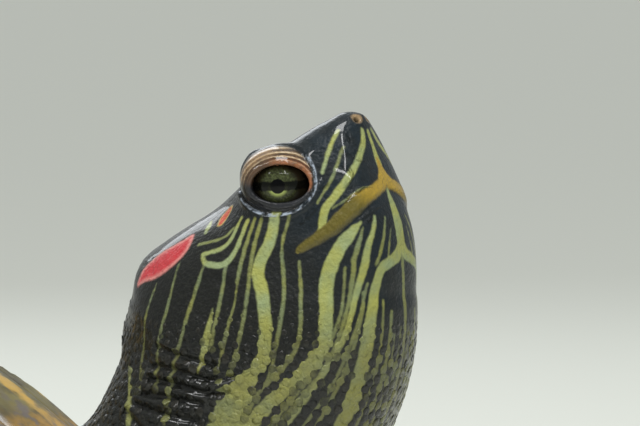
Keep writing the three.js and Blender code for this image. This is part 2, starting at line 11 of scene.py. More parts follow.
import bpy
import numpy as np
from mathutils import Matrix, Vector


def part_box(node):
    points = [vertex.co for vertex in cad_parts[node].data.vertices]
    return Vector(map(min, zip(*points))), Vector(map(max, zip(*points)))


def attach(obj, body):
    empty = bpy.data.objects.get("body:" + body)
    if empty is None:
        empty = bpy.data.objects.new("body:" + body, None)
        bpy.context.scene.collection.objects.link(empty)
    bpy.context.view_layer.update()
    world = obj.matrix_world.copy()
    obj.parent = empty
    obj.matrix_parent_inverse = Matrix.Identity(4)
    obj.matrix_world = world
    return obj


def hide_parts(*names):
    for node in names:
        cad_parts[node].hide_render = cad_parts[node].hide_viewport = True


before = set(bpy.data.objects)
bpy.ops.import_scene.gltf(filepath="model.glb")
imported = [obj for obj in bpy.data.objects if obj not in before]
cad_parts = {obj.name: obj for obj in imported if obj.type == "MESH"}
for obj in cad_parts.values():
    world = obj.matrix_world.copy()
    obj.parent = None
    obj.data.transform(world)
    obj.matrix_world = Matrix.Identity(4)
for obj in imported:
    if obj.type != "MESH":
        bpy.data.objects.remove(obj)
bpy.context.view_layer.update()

# ---- driving dimensions, in millimetres and degrees ----
SHELL_LENGTH = 210.0
SHELL_WIDTH = 158.0
SHELL_HEIGHT = 80.0
SHELL_PITCH = 6.0
SHELL_BACK = -5.0
SHELL_LIFT = 9.5
PLAN_POWER = 2.4
REAR_FLARE = 0.07
RIM_LOW = 26.0
RIM_FRONT_RISE = 14.0
RIM_REAR_RISE = 5.0
CARAPACE_FALL = (0.62, 0.38)
CARAPACE_WALL = 4.5
CARAPACE_WALL_RIM = 7.5
MARGINAL_SEAM = 0.82
PLASTRON_THICK = 5.0
PLASTRON_CLEAR = 0.6
# The trunk: gaps to plastron and carapace, share of the plan at three heights, and mm to a whole share.
TRUNK_GAPS = (0.8, 0.6)
TRUNK_SHARES = (0.66, 0.78, 0.84)
TRUNK_REACH = 80.0

HEAD_PITCH = 45.0
HEAD_ORIGIN = np.array([163.9, 0.0, 105.6])
EYE = {"a": -12.7, "b": 7.0, "c": 9.4, "radius": 5.0, "lid": 6.0}
EYE_OPENING = {"half": 4.4, "up": 3.2, "down": 2.5, "forward": 0.35}
LID_RING = {"forward": -0.5, "up": 0.5, "long": 1.02, "above": 0.95, "below": 0.78}
# How far the lids stand out above, under and behind the eye, and the crease and low fold round them.
LID_SWELL = {"above": 0.25, "under": -0.4, "behind": 0.6}
LID_CREASE = 5.75
LID_FOLD = {"crease": 0.42, "crease_half": 0.36, "out": 0.85, "fold": 0.34, "fold_half": 0.45}
EYE_BULGE = 0.03
EYE_TURN = 15.5
EYE_LIFT = -17.0
EYE_SLANT = 43.0
NOSTRIL = {"a": 1.0, "b": 1.45, "c": 9.5, "radius": 0.55, "reach": 1.6, "rim": 0.25}

# Sections of the head: a, top, bottom, half width, height of the widest place, superellipse power.
HEAD_SECTIONS = [
    (1.75, 9.7, 9.5, 0.15, 9.6, 2.0), (1.4, 10.4, 8.6, 1.1, 9.6, 2.0), (0.8, 11.3, 7.4, 2.6, 9.4, 2.1),
    (0.0, 12.0, 5.6, 3.9, 8.6, 2.2), (-1.4, 12.5, 2.4, 5.6, 7.0, 2.3), (-2.7, 12.9, -0.9, 6.7, 5.6, 2.4),
    (-3.6, 13.2, -3.0, 7.4, 4.8, 2.5), (-5.2, 13.6, -6.0, 8.4, 4.0, 2.6), (-8.0, 14.3, -9.8, 9.8, 3.4, 2.6),
    (-12.0, 15.3, -14.2, 11.2, 2.6, 2.5), (-17.0, 15.0, -18.0, 13.2, 2.0, 2.2),
    (-22.0, 14.3, -20.5, 15.0, 1.5, 2.1), (-28.0, 16.9, -22.0, 16.4, 1.0, 2.1),
    (-35.0, 18.3, -22.0, 16.9, 0.5, 2.1), (-41.0, 18.8, -20.0, 16.0, 0.0, 2.1),
    (-46.0, 14.0, -14.0, 11.0, 0.0, 2.0),
]
MOUTH_LINE = [(-3.0, -0.9), (-4.1, -2.4), (-6.2, -3.1), (-9.6, -3.4), (-12.6, -2.85), (-15.2, -2.1)]
# The mouth from the side, run level past the snout, and from the front: places across and their heights.
MOUTH_SIDE = [(4.0, -2.3)] + MOUTH_LINE[1:]
MOUTH_FRONT = [(0.0, 2.0, 3.8, 5.6, 7.6), (-0.9, -1.6, -2.15, -2.6, -3.1)]
# The step of the lower jaw, the groove of the mouth, the horn that stands proud over it, and the ear drum.
JAW_STEP = 0.5
MOUTH_GROOVE = {"depth": 0.4, "half": 0.25, "down": 0.12}
HORN = {"rise": 0.16, "fades": 1.6, "ends": 2.2}
EAR_DRUM = {"a": -29.5, "c": 2.0, "flat": 3.0, "edge": 4.6, "depth": 0.5}

# Stations of the neck, legs and tail: x, y, z, half thickness, half width.
NECK = [
    (60, 0, 35, 12, 24), (85, 0, 39.5, 14, 23.5), (106, 0, 44.5, 16, 22.5), (125, 0, 53, 18, 21.3),
    (136.8, 0, 66, 20.8, 19.6), (141.9, 0, 79, 22.6, 17.4), (143.2, 0, 89, 19, 13.5), (144.2, 0, 96, 9, 7),
]
FORELEG = [
    (62, 36, 36, 12, 14), (80, 48, 38, 13, 15), (93, 62, 36, 12.5, 14), (99, 75, 28, 11, 12.5),
    (104, 82, 17, 8.5, 11), (110, 86, 9, 6, 9.5), (117, 88.5, 5.4, 4.5, 9),
]
HINDLEG = [
    (-56, 34, 30, 14, 17), (-70, 50, 33, 15, 17), (-75, 66, 32, 14, 15), (-84, 77, 23, 11.5, 12.5),
    (-91, 84, 13, 8.5, 10.5), (-88, 88, 7, 5.5, 10),
]
TAIL = [
    (-78, 0, 27, 12, 14), (-96, 0, 24, 9.5, 10.5), (-110, 2, 17, 6, 6.5), (-121, 5, 10.5, 3.6, 3.8),
    (-129, 9, 6.5, 1.2, 1.2),
]
FOREFOOT = {
    "centre": (119.5, 89.5, 3.9),
    "radii": (10.5, 9.6, 4.7),
    "heading": 22.0,
    "spread": (-52, -26, 0, 26, 52),
    "reach": 8.5,
    "toe": 5.0,
    "toe_radius": 2.5,
    "clawed": 5,
    "claw": 8.0,
}
HINDFOOT = {
    "centre": (-78, 92.5, 3.9),
    "radii": (15.5, 11.5, 4.7),
    "heading": 24.0,
    "spread": (-34, -15, 4, 23, 44),
    "reach": 13.0,
    "toe": 6.0,
    "toe_radius": 2.4,
    "clawed": 4,
    "claw": 6.5,
}
LEGS = {
    "foreleg_left": (FORELEG, FOREFOOT, 1, -7.0),
    "foreleg_right": (FORELEG, FOREFOOT, -1, 6.0),
    "hindleg_left": (HINDLEG, HINDFOOT, 1, 5.0),
    "hindleg_right": (HINDLEG, HINDFOOT, -1, -6.0),
}
# Heights of a toe's middle at its root and end, its thickness there, its knuckle and the web beside it.
TOE_HEIGHTS = (3.6, 2.6)
TOE_TAPER = (1.02, 0.74)
KNUCKLE = 0.62
WEB = {"share": 0.72, "height": 2.3, "half": 1.0}
MM = 0.001


# ---- frames ----
def pitch_matrix(degrees):
    """Turns a local frame nose-up about +Y. Rows are local vectors' images when used as points @ matrix."""
    c, s = math.cos(math.radians(degrees)), math.sin(math.radians(degrees))
    return np.array([[c, 0.0, s], [0.0, 1.0, 0.0], [-s, 0.0, c]])


HEAD_TURN = pitch_matrix(HEAD_PITCH)
SHELL_TURN = pitch_matrix(SHELL_PITCH)
SHELL_ORIGIN = np.array([SHELL_BACK, 0.0, SHELL_LIFT])


def from_head(points):
    return np.asarray(points, float) @ HEAD_TURN + HEAD_ORIGIN


def to_head(points):
    return (points - HEAD_ORIGIN) @ HEAD_TURN.T


def head_point(a, b, c):
    return from_head([[a, b, c]])[0]


def from_shell(points):
    return np.asarray(points, float) @ SHELL_TURN + SHELL_ORIGIN


def to_shell(points):
    return (points - SHELL_ORIGIN) @ SHELL_TURN.T


def unit(v):
    return v / np.linalg.norm(v)


# The drawing frame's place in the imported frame, from the middle of the right eye.
eye_low, eye_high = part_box("eye_right")
eye_drawn = head_point(EYE["a"], -EYE["b"], EYE["c"])
OFFSET = np.array((eye_low + eye_high) / 2) / MM - eye_drawn
OFFSET[2] = 0.0


def to_metres(points):
    return (np.asarray(points) + OFFSET) * MM


# ---- interpolation ----
def smooth_interp(x, xs, ys):
    """Cubic Hermite interpolation of rows ys at rising xs, without overshoot beyond the ends."""
    xs, ys = np.asarray(xs, float), np.asarray(ys, float)
    slopes = np.gradient(ys, xs, axis=0)
    x = np.clip(x, xs[0], xs[-1])
    i = np.clip(np.searchsorted(xs, x) - 1, 0, len(xs) - 2)
    h = xs[i + 1] - xs[i]
    t = (x - xs[i]) / h
    if ys.ndim > 1:
        h, t = h[:, None], t[:, None]
    t2, t3 = t * t, t * t * t
    return (
        (2 * t3 - 3 * t2 + 1) * ys[i]
        + (t3 - 2 * t2 + t) * h * slopes[i]
        + (3 * t2 - 2 * t3) * ys[i + 1]
        + (t3 - t2) * h * slopes[i + 1]
    )


def catmull_rom(rows, count):
    """count + 1 rows along a uniform Catmull-Rom curve through the given rows."""
    rows = np.asarray(rows, float)
    padded = np.vstack([2 * rows[0] - rows[1], rows, 2 * rows[-1] - rows[-2]])
    u = np.linspace(0, len(rows) - 1, count + 1)
    i = np.minimum(u.astype(int), len(rows) - 2)
    t = (u - i)[:, None]
    p0, p1, p2, p3 = (padded[i + k] for k in range(4))
    bend = 2 * p0 - 5 * p1 + 4 * p2 - p3
    twist = 3 * p1 - p0 - 3 * p2 + p3
    return 0.5 * (2 * p1 + (p2 - p0) * t + bend * t**2 + twist * t**3)


def smoothstep(low, high, x):
    t = np.clip((x - low) / (high - low), 0, 1)
    return t * t * (3 - 2 * t)


def bell(x, half):
    """1 at 0, falling off on both sides."""
    return np.exp(-((x / half) ** 2))


# ---- solid shapes as distance-like functions: negative inside, in millimetres ----
FAR = 40.0  # the distance given where head and neck are not near
CHUNK = 40000


def smooth_union(f, g, k):
    h = np.clip(0.5 + 0.5 * (g - f) / k, 0, 1)
    return g * (1 - h) + f * h - k * h * (1 - h)


def smooth_cut(f, g, k):
    """f with g taken away."""
    return -smooth_union(-f, g, k)


def oval(r, share):
    """Distance from an oval, from the distance to its middle and the share of the way to its edge."""
    return r * (1 - 1 / np.maximum(share, 1e-3))


def ellipsoid(points, centre, radii, axes):
    local = (points - centre) @ axes.T
    radii = np.asarray(radii, float)
    return oval(np.linalg.norm(local, axis=1), np.linalg.norm(local / radii, axis=1))


TUBE_POWER = 2.15


class Tube:
    """An oval swept along a curve through stations, with rounded ends."""

    def __init__(self, stations, side, samples, folds=None):
        rows = catmull_rom(stations, samples)
        self.folds = folds
        self.centre = rows[:, :3]
        self.thick, self.wide = rows[:, 3], rows[:, 4]
        tangent = np.gradient(self.centre, axis=0)
        self.tangent = tangent / np.linalg.norm(tangent, axis=1)[:, None]
        side = np.asarray(side, float)
        across = side - (self.tangent @ side)[:, None] * self.tangent
        self.across = across / np.linalg.norm(across, axis=1)[:, None]
        self.up = np.cross(self.across, self.tangent)
        reach = max(self.thick.max(), self.wide.max())
        self.low = self.centre.min(0) - reach
        self.high = self.centre.max(0) + reach
        steps = np.linalg.norm(np.diff(self.centre, axis=0), axis=1)
        self.length = np.concatenate([[0], np.cumsum(steps)])

    def nearest(self, points):
        """Place along the curve, offsets across, up and past the ends, and both sizes, for each point."""
        index = np.empty(len(points), int)
        for start in range(0, len(points), CHUNK):
            chunk = points[start : start + CHUNK]
            d2 = (chunk**2).sum(1)[:, None] - 2 * chunk @ self.centre.T + (self.centre**2).sum(1)
            index[start : start + CHUNK] = d2.argmin(1)
        offset = points - self.centre[index]
        along = (offset * self.tangent[index]).sum(1)
        across = (offset * self.across[index]).sum(1)
        up = (offset * self.up[index]).sum(1)
        place = np.clip(self.length[index] + along, 0, self.length[-1])
        past_end = ((index == 0) & (along < 0)) | ((index == len(self.centre) - 1) & (along > 0))
        beyond = np.where(past_end, along, 0.0)
        thick = np.interp(place, self.length, self.thick)
        wide = np.interp(place, self.length, self.wide)
        return place, across, up, beyond, thick, wide

    def distance(self, points):
        place, across, up, beyond, thick, wide = self.nearest(points)
        if self.folds is not None:
            height, period, first, last = self.folds
            wave = 0.5 - 0.5 * np.cos(2 * math.pi * (place - first) / period + 0.12 * across)
            swell = height * wave**0.7 * smoothstep(first, first + 6, place)
            swell = swell * (1 - smoothstep(last - 6, last, place))
            thick, wide = thick + swell, wide + swell
        end = np.minimum(thick, wide)
        n = TUBE_POWER
        k = (np.abs(across / wide) ** n + np.abs(up / thick) ** n + np.abs(beyond / end) ** n) ** (1 / n)
        return oval(np.sqrt(across**2 + up**2 + beyond**2), k)


def capsule(points, start, end, r0, r1):
    axis = end - start
    t = np.clip(((points - start) @ axis) / (axis @ axis), 0, 1)
    return np.linalg.norm(points - start - t[:, None] * axis, axis=1) - (r0 + (r1 - r0) * t)


# ---- head ----
SECTION_A = np.array([s[0] for s in HEAD_SECTIONS])[::-1]
SECTION_SIZES = np.array([s[1:] for s in HEAD_SECTIONS])[::-1]


def eye_axes(side):
    """Line of sight, the direction along the slit and the direction across it, as rows in the world."""
    turn, lift = math.radians(EYE_TURN), math.radians(EYE_LIFT)
    look = np.array([math.sin(turn) * math.cos(lift), side * math.cos(turn) * math.cos(lift), math.sin(lift)])
    look = unit(look @ HEAD_TURN)
    slant = math.radians(EYE_SLANT)
    slit = np.array([math.cos(slant), 0, -math.sin(slant)]) @ HEAD_TURN
    slit = unit(slit - (slit @ look) * look)
    across = np.cross(slit, look) * side
    if across[2] < 0:
        across = -across
    return look, slit, across


def eye_centre(side):
    return head_point(EYE["a"], side * EYE["b"], EYE["c"])


def lid_coordinates(points, side):
    """Distance from the eye's middle, and place along the slit, across it and out along the sight."""
    look, slit, across = eye_axes(side)
    offset = points - eye_centre(side)
    return np.linalg.norm(offset, axis=1), offset @ slit, offset @ across, offset @ look


def lid_ring(x, z):
    """The radius on the lids, measured on a ring that is squashed and set back from the slit."""
    dz = z - LID_RING["up"]
    high = np.where(dz > 0, LID_RING["above"], LID_RING["below"])
    return np.hypot((x - LID_RING["forward"]) / LID_RING["long"], dz / high)


def opening_shape(x, z):
    """Distance from the edge of the slit between the lids, negative in it. The upper lid arches."""
    x = x - EYE_OPENING["forward"]
    high = np.where(z > 0, EYE_OPENING["up"], EYE_OPENING["down"])
    return oval(np.sqrt(x**2 + z**2), np.sqrt((x / EYE_OPENING["half"]) ** 2 + (z / high) ** 2))


def line_distance(a, c, line):
    """Distance in the head's side view from a line of (a, c) that runs back, negative under the line."""
    best = np.full(a.shape, 1e9)
    sign = np.ones(a.shape)
    for (a0, c0), (a1, c1) in zip(line[:-1], line[1:]):
        da, dc = a1 - a0, c1 - c0
        t = np.clip(((a - a0) * da + (c - c0) * dc) / (da * da + dc * dc), 0, 1)
        d = np.hypot(a - a0 - t * da, c - c0 - t * dc)
        cross = da * (c - c0) - dc * (a - a0)
        nearer = d < best
        best = np.where(nearer, d, best)
        sign = np.where(nearer, np.where(cross < 0, 1.0, -1.0), sign)
    return best * sign


def over_mouth(local):
    """Height over the mouth line: from the side along the cheeks and from the front at the notched tip."""
    a, b, c = local.T
    b = np.abs(b)
    side = line_distance(a, c, MOUTH_SIDE)
    front = 0.85 * (c - np.interp(b, *MOUTH_FRONT))
    share = smoothstep(MOUTH_FRONT[0][-2], MOUTH_FRONT[0][-1], b)
    return front * (1 - share) + side * share


def head_distance(points):
    local = to_head(points)
    a, b, c = local[:, 0], np.abs(local[:, 1]), local[:, 2]
    top, bottom, half, widest, n = smooth_interp(a, SECTION_A, SECTION_SIZES).T
    rise = np.where(c > widest, top - widest, widest - bottom)
    k = ((b / half) ** n + (np.abs(c - widest) / rise) ** n) ** (1 / n)
    f = oval(np.sqrt(b**2 + (c - widest) ** 2), k)
    f = np.maximum(f, a - SECTION_A[-1])
    f = np.maximum(f, SECTION_A[0] - a)

    # The lower jaw sits a little inside the upper beak, and a groove marks the mouth.
    over = over_mouth(local)
    corner = MOUTH_LINE[-1][0]
    before_corner = smoothstep(corner - 1.0, corner + 1.5, a)
    under = smoothstep(0.0, 0.35, -over) * (1 - smoothstep(0.5, 4.5, -over))
    f = f + JAW_STEP * under * smoothstep(corner - 3.5, corner + 4.5, a)
    f = f + MOUTH_GROOVE["depth"] * bell(over + MOUTH_GROOVE["down"], MOUTH_GROOVE["half"]) * before_corner
    # The horn of the upper beak stands a little proud of the skin above it.
    on_horn = smoothstep(-0.1, 0.2, over) * (1 - smoothstep(HORN["fades"], HORN["ends"], over))
    f = f - HORN["rise"] * on_horn * before_corner
    # The ear drum behind the jaw is slightly sunken.
    ear = np.hypot(a - EAR_DRUM["a"], c - EAR_DRUM["c"])
    drum = 1 - smoothstep(EAR_DRUM["flat"], EAR_DRUM["edge"], ear)
    return f + EAR_DRUM["depth"] * drum * smoothstep(9, 12, b)


def add_eye(points, f, side):
    """Lids over the eyeball with a crease and a low fold round them, and the slit cut open between them."""
    r, x, z, out = lid_coordinates(points, side)
    near = r < 12
    if not near.any():
        return
    r, x, z, out = r[near], x[near], z[near], out[near]
    lid = r - EYE["lid"]
    lid = lid - LID_SWELL["above"] * smoothstep(0, 3, z) - LID_SWELL["under"] * smoothstep(-1.5, -5, z)
    lid = lid - LID_SWELL["behind"] * smoothstep(2.0, 5.0, -x) * smoothstep(-5.5, -2.5, z)
    g = smooth_union(f[near], lid, 0.9)
    past_crease = lid_ring(x, z) - LID_CREASE
    outward = smoothstep(-1.0, 0.5, out)
    g = g + LID_FOLD["crease"] * bell(past_crease, LID_FOLD["crease_half"]) * outward
    fold = bell(past_crease - LID_FOLD["out"], LID_FOLD["fold_half"])
    g = g - LID_FOLD["fold"] * fold * outward * smoothstep(2.5, -1.5, z)
    f[near] = smooth_cut(g, np.maximum(opening_shape(x, z), -out), 0.55)


def add_nostril(points, f, side):
    """A bored nostril with a low rim."""
    a, b, c, radius, reach, rise = NOSTRIL.values()
    start = head_point(a + reach, side * b, c)
    end = head_point(a - reach, side * (b - 0.2), c - 0.3)
    near = np.linalg.norm(points - start, axis=1) < 6
    if near.any():
        rim = capsule(points[near], start, end, radius + 0.45, radius + 0.3)
        hole = capsule(points[near], start, end, radius, radius * 0.8)
        f[near] = smooth_cut(f[near] - rise * np.exp(-(rim**2) / 0.1), hole, 0.35)


def with_eyes_and_nostrils(points, f):
    for add in (add_eye, add_nostril):
        for side in (1, -1):
            add(points, f, side)
    return f


# ---- shell surfaces ----
def signed_power(value, exponent):
    return np.sign(value) * np.abs(value) ** exponent


def shell_polar(u, v):
    """Share of the way to the shell's edge in its plan, and how far forward that way leads, from -1 to 1."""
    widen = 1 - REAR_FLARE * u / (SHELL_LENGTH / 2)
    x = np.abs(u / (SHELL_LENGTH / 2))
    y = np.abs(v / (SHELL_WIDTH / 2) / widen)
    share = (x**PLAN_POWER + y**PLAN_POWER) ** (1 / PLAN_POWER)
    along = np.clip(u / (SHELL_LENGTH / 2) / np.maximum(share, 1e-6), -1, 1)
    return share, along


def rim_height(along):
    rise = np.where(along > 0, RIM_FRONT_RISE * np.abs(along) ** 2.2, RIM_REAR_RISE * np.abs(along) ** 2)
    return RIM_LOW + rise


def carapace_height(share, along):
    fall = CARAPACE_FALL[0] * share**2 + CARAPACE_FALL[1] * share**4
    rim = rim_height(along)
    return rim + (SHELL_HEIGHT - rim) * (1 - fall)


def carapace_wall(share):
    return CARAPACE_WALL + (CARAPACE_WALL_RIM - CARAPACE_WALL) * share**2


def trunk_distance(points):
    """The flesh between carapace and plastron: its side leans in towards the plastron."""
    local = to_shell(points)
    u, v, w = local.T
    share, along = shell_polar(u, v)
    above = w - (carapace_height(np.minimum(share, 1), along) - carapace_wall(share) - TRUNK_GAPS[1])
    belly = PLASTRON_THICK + TRUNK_GAPS[0]
    lean = np.interp(w, [belly, belly + 9, rim_height(0.0) + 4], TRUNK_SHARES)
    out = (share - lean) * TRUNK_REACH
    below = belly - w
    return smooth_cut(smooth_cut(out, -above, 4.0), -below, 4.0)


# ---- the whole body ----
def leg_stations(stations, side, stride):
    rows = []
    for i, (x, y, z, thick, wide) in enumerate(stations):
        share = (i / (len(stations) - 1)) ** 1.5
        rows.append((x + stride * share, side * y, z, thick, wide))
    return rows


class Foot:
    """A palm with toes, webbed between them, standing on the floor."""

    def __init__(self, spec, side, stride):
        heading = side * math.radians(spec["heading"])
        x, y, z = spec["centre"]
        self.centre = np.array([x + stride, side * y, z])
        self.radii = spec["radii"]
        c, s = math.cos(heading), math.sin(heading)
        self.axes = np.array([[c, s, 0], [-s, c, 0], [0, 0, 1]])
        self.toes = []
        self.claws = []
        for i, angle in enumerate(spec["spread"]):
            way = heading + side * math.radians(angle)
            direction = np.array([math.cos(way), math.sin(way), 0.0])
            start = self.centre + direction * spec["reach"] * 0.45
            start[2] = TOE_HEIGHTS[0]
            end = self.centre + direction * (spec["reach"] + spec["toe"])
            end[2] = TOE_HEIGHTS[1]
            self.toes.append((start, end, spec["toe_radius"]))
            if i < spec["clawed"]:
                self.claws.append((end + direction * 0.35, direction, spec["claw"]))
        reach = spec["reach"] + spec["toe"] + 6
        self.low = self.centre - reach
        self.high = self.centre + reach

    def distance(self, points):
        f = ellipsoid(points, self.centre, self.radii, self.axes)
        for start, end, radius in self.toes:
            tip = end + unit(end - start) * 0.3
            g = capsule(points, start, tip, radius * TOE_TAPER[0], radius * TOE_TAPER[1])
            knuckle = start + (end - start) * KNUCKLE
            g = smooth_union(g, np.linalg.norm(points - knuckle, axis=1) - radius * TOE_TAPER[0], 1.2)
            f = smooth_union(f, g, 1.4)
        for (s0, e0, _), (s1, e1, _) in zip(self.toes[:-1], self.toes[1:]):
            f = smooth_union(f, web_distance(points, self.centre, s0, e0, s1, e1), 1.2)
        return f


def web_distance(points, centre, s0, e0, s1, e1):
    """A thin skin between two toes: a triangle from the palm's middle to places well along each toe."""
    p = points[:, :2]
    a, b, c = centre[:2], (s0 + (e0 - s0) * WEB["share"])[:2], (s1 + (e1 - s1) * WEB["share"])[:2]
    if (b[0] - a[0]) * (c[1] - a[1]) - (b[1] - a[1]) * (c[0] - a[0]) < 0:
        b, c = c, b
    inside = np.full(len(p), -1e9)
    for q0, q1 in ((a, b), (b, c), (c, a)):
        edge = q1 - q0
        normal = np.array([edge[1], -edge[0]]) / np.linalg.norm(edge)
        inside = np.maximum(inside, (p - q0) @ normal)
    flat = np.abs(points[:, 2] - WEB["height"]) - WEB["half"]
    return np.maximum(inside, flat)


# The neck's folds: height, distance apart, and where along the neck they start and end.
NECK_FOLDS = (1.1, 7.5, 22.0, 52.0)
neck = Tube(NECK, (0, 1, 0), 90, NECK_FOLDS)
tail = Tube(TAIL, (0, 1, 0), 50)
legs = {}
feet = {}
for leg_name, (stations, spec, side, stride) in LEGS.items():
    legs[leg_name] = Tube(leg_stations(stations, side, stride), (side * 0.5, 1, 0), 50)
    feet[leg_name.replace("leg", "foot")] = Foot(spec, side, stride)
HEAD_LOW = np.array([104.0, -22.0, 56.0])
HEAD_HIGH = np.array([170.0, 22.0, 120.0])
# How softly each part runs into the rest.
BLEND = {"tail": 5.0, "leg": 6.0, "foot": 2.5, "head": 5.0, "neck": 6.0}


def inside_box(points, low, high, margin):
    return ((points > low - margin) & (points < high + margin)).all(1)


def body_distance(points):
    f = trunk_distance(points)
    parts = [(tail, BLEND["tail"])]
    parts += [(leg, BLEND["leg"]) for leg in legs.values()]
    parts += [(foot, BLEND["foot"]) for foot in feet.values()]
    for part, softness in parts:
        near = inside_box(points, part.low, part.high, 8.0)
        if near.any():
            f[near] = smooth_union(f[near], part.distance(points[near]), softness)
    front = np.full(len(points), FAR)
    near = inside_box(points, neck.low, neck.high, 8.0)
    if near.any():
        front[near] = neck.distance(points[near])
    near = inside_box(points, HEAD_LOW, HEAD_HIGH, 6.0)
    if near.any():
        joined = smooth_union(front[near], head_distance(points[near]), BLEND["head"])
        front[near] = with_eyes_and_nostrils(points[near], joined)
    f = smooth_union(f, front, BLEND["neck"])
    return np.maximum(f, -points[:, 2])


# ---- from a distance function to a mesh ----
SKIN_SPACINGS = (0.3, 0.42, 0.8, 1.5)
COARSE_STEP = 4
EXACT_AT_ONCE = 400000


def spaced(breaks):
    """Grid coordinates from a list of (from, to, spacing) stretches that follow on."""
    stretches = []
    for low, high, spacing in breaks:
        count = max(1, round((high - low) / spacing))
        stretches.append(np.linspace(low, high, count, endpoint=False))
    return np.concatenate(stretches + [[breaks[-1][1]]])


def skin_grid(scale):
    """The skin's grid along the three axes, finest round the face."""
    finest, fine, mid, coarse = (spacing * scale for spacing in SKIN_SPACINGS)
    x = [(-134, -112, coarse), (-112, -56, mid), (-56, 86, 2.2 * scale), (86, 108, mid), (108, 142, fine)]
    x += [(142, 168.5, finest), (168.5, 172, coarse)]
    y = [(0, 3, fine), (3, 14, finest), (14, 23, fine), (23, 74, coarse), (74, 112, mid), (112, 116, coarse)]
    z = [(-1.2, 14, 0.6 * scale), (14, 56, coarse * 0.8), (56, 96, fine), (96, 114, finest), (114, 121, fine)]
    left = spaced(y)
    return spaced(x), np.concatenate([-left[:0:-1], left]), spaced(z)


def band_field(distance, axes, band):
    """The distance on a rectilinear grid, worked out exactly only near the surface."""
    coarse = [np.unique(np.append(np.arange(0, len(v), COARSE_STEP), len(v) - 1)) for v in axes]
    knots = [v[i] for v, i in zip(axes, coarse)]
    grid = np.stack(np.meshgrid(*knots, indexing="ij"), -1).reshape(-1, 3)
    field = distance(grid).reshape([len(v) for v in knots])
    for axis, (v, knot) in enumerate(zip(axes, knots)):
        field = upsample(field, np.interp(v, knot, np.arange(len(knot))), axis)
    field = field.astype(np.float32)
    index = np.nonzero(np.abs(field) < band)
    points = np.stack([v[i] for v, i in zip(axes, index)], 1)
    values = np.empty(len(points))
    for start in range(0, len(points), EXACT_AT_ONCE):
        part = slice(start, start + EXACT_AT_ONCE)
        values[part] = distance(points[part])
    field[index] = values
    return field


def upsample(data, places, axis):
    """Data read off between its rows along one axis."""
    i = np.minimum(places.astype(int), data.shape[axis] - 2)
    t = (places - i).astype(np.float32)
    shape = [1] * data.ndim
    shape[axis] = len(places)
    t = t.reshape(shape)
    return np.take(data, i, axis) * (1 - t) + np.take(data, i + 1, axis) * t


def surface_net(field, axes):
    """Vertices and quads of the zero surface of a field on a rectilinear grid."""
    shape = np.array(field.shape)
    cells = shape - 1
    ids = np.full(cells.prod(), -1, np.int32)
    inside = field < 0
    crossings = []
    for axis in range(3):
        low = [slice(None)] * 3
        high = [slice(None)] * 3
        low[axis], high[axis] = slice(0, -1), slice(1, None)
        change = inside[tuple(low)] != inside[tuple(high)]
        index = np.stack(np.nonzero(change), 1)
        others = [k for k in range(3) if k != axis]
        keep = np.ones(len(index), bool)
        for k in others:
            keep &= (index[:, k] > 0) & (index[:, k] < shape[k] - 1)
        index = index[keep]
        after = index.copy()
        after[:, axis] += 1
        f0 = field[tuple(index.T)].astype(float)
        f1 = field[tuple(after.T)].astype(float)
        t = f0 / (f0 - f1)
        place = np.stack([axes[k][index[:, k]] for k in range(3)], 1)
        place[:, axis] += t * (axes[axis][after[:, axis]] - axes[axis][index[:, axis]])
        corners = []
        for da, db in ((-1, -1), (0, -1), (0, 0), (-1, 0)):
            corner = index.copy()
            corner[:, others[0]] += da
            corner[:, others[1]] += db
            corners.append(np.ravel_multi_index(corner.T, cells))
        crossings.append((axis, place, np.stack(corners, 1), f0 < 0))
    used = np.unique(np.concatenate([c[2].ravel() for c in crossings]))
    ids[used] = np.arange(len(used))
    total = np.zeros((len(used), 3))
    count = np.zeros(len(used))
    quads = []
    for axis, place, corners, starts_inside in crossings:
        local = ids[corners]
        for k in range(4):
            np.add.at(total, local[:, k], place)
            np.add.at(count, local[:, k], 1)
        flip = starts_inside if axis == 1 else ~starts_inside
        quads.append(np.where(flip[:, None], local[:, ::-1], local))
    return total / count[:, None], np.concatenate(quads)


def make_mesh(name, vertices, faces, smooth=True):
    """A new object from vertices in metres and rows of face corners."""
    mesh = bpy.data.meshes.new(name)
    faces = np.asarray(faces, np.int32)
    mesh.vertices.add(len(vertices))
    mesh.vertices.foreach_set("co", np.asarray(vertices, np.float32).ravel())
    mesh.loops.add(faces.size)
    mesh.loops.foreach_set("vertex_index", faces.ravel())
    mesh.polygons.add(len(faces))
    mesh.polygons.foreach_set("loop_start", np.arange(0, faces.size, faces.shape[1], dtype=np.int32))
    mesh.polygons.foreach_set("use_smooth", np.full(len(faces), smooth))
    mesh.update(calc_edges=True)
    mesh.validate()
    made = bpy.data.objects.new(name, mesh)
    bpy.context.scene.collection.objects.link(made)
    return made


def ride(piece, slot, *nodes):
    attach(piece, "root")
    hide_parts(*nodes)


def set_attribute(obj, name, values):
    layer = obj.data.attributes.new(name, "FLOAT", "POINT")
    layer.data.foreach_set("value", np.asarray(values, np.float32).ravel())


# ---- shaders ----
def rgb(red, green, blue):
    """Linear colour from 0..255 screen values."""
    values = [v / 255 for v in (red, green, blue)]
    return tuple(v / 12.92 if v <= 0.04045 else ((v + 0.055) / 1.055) ** 2.4 for v in values) + (1.0,)


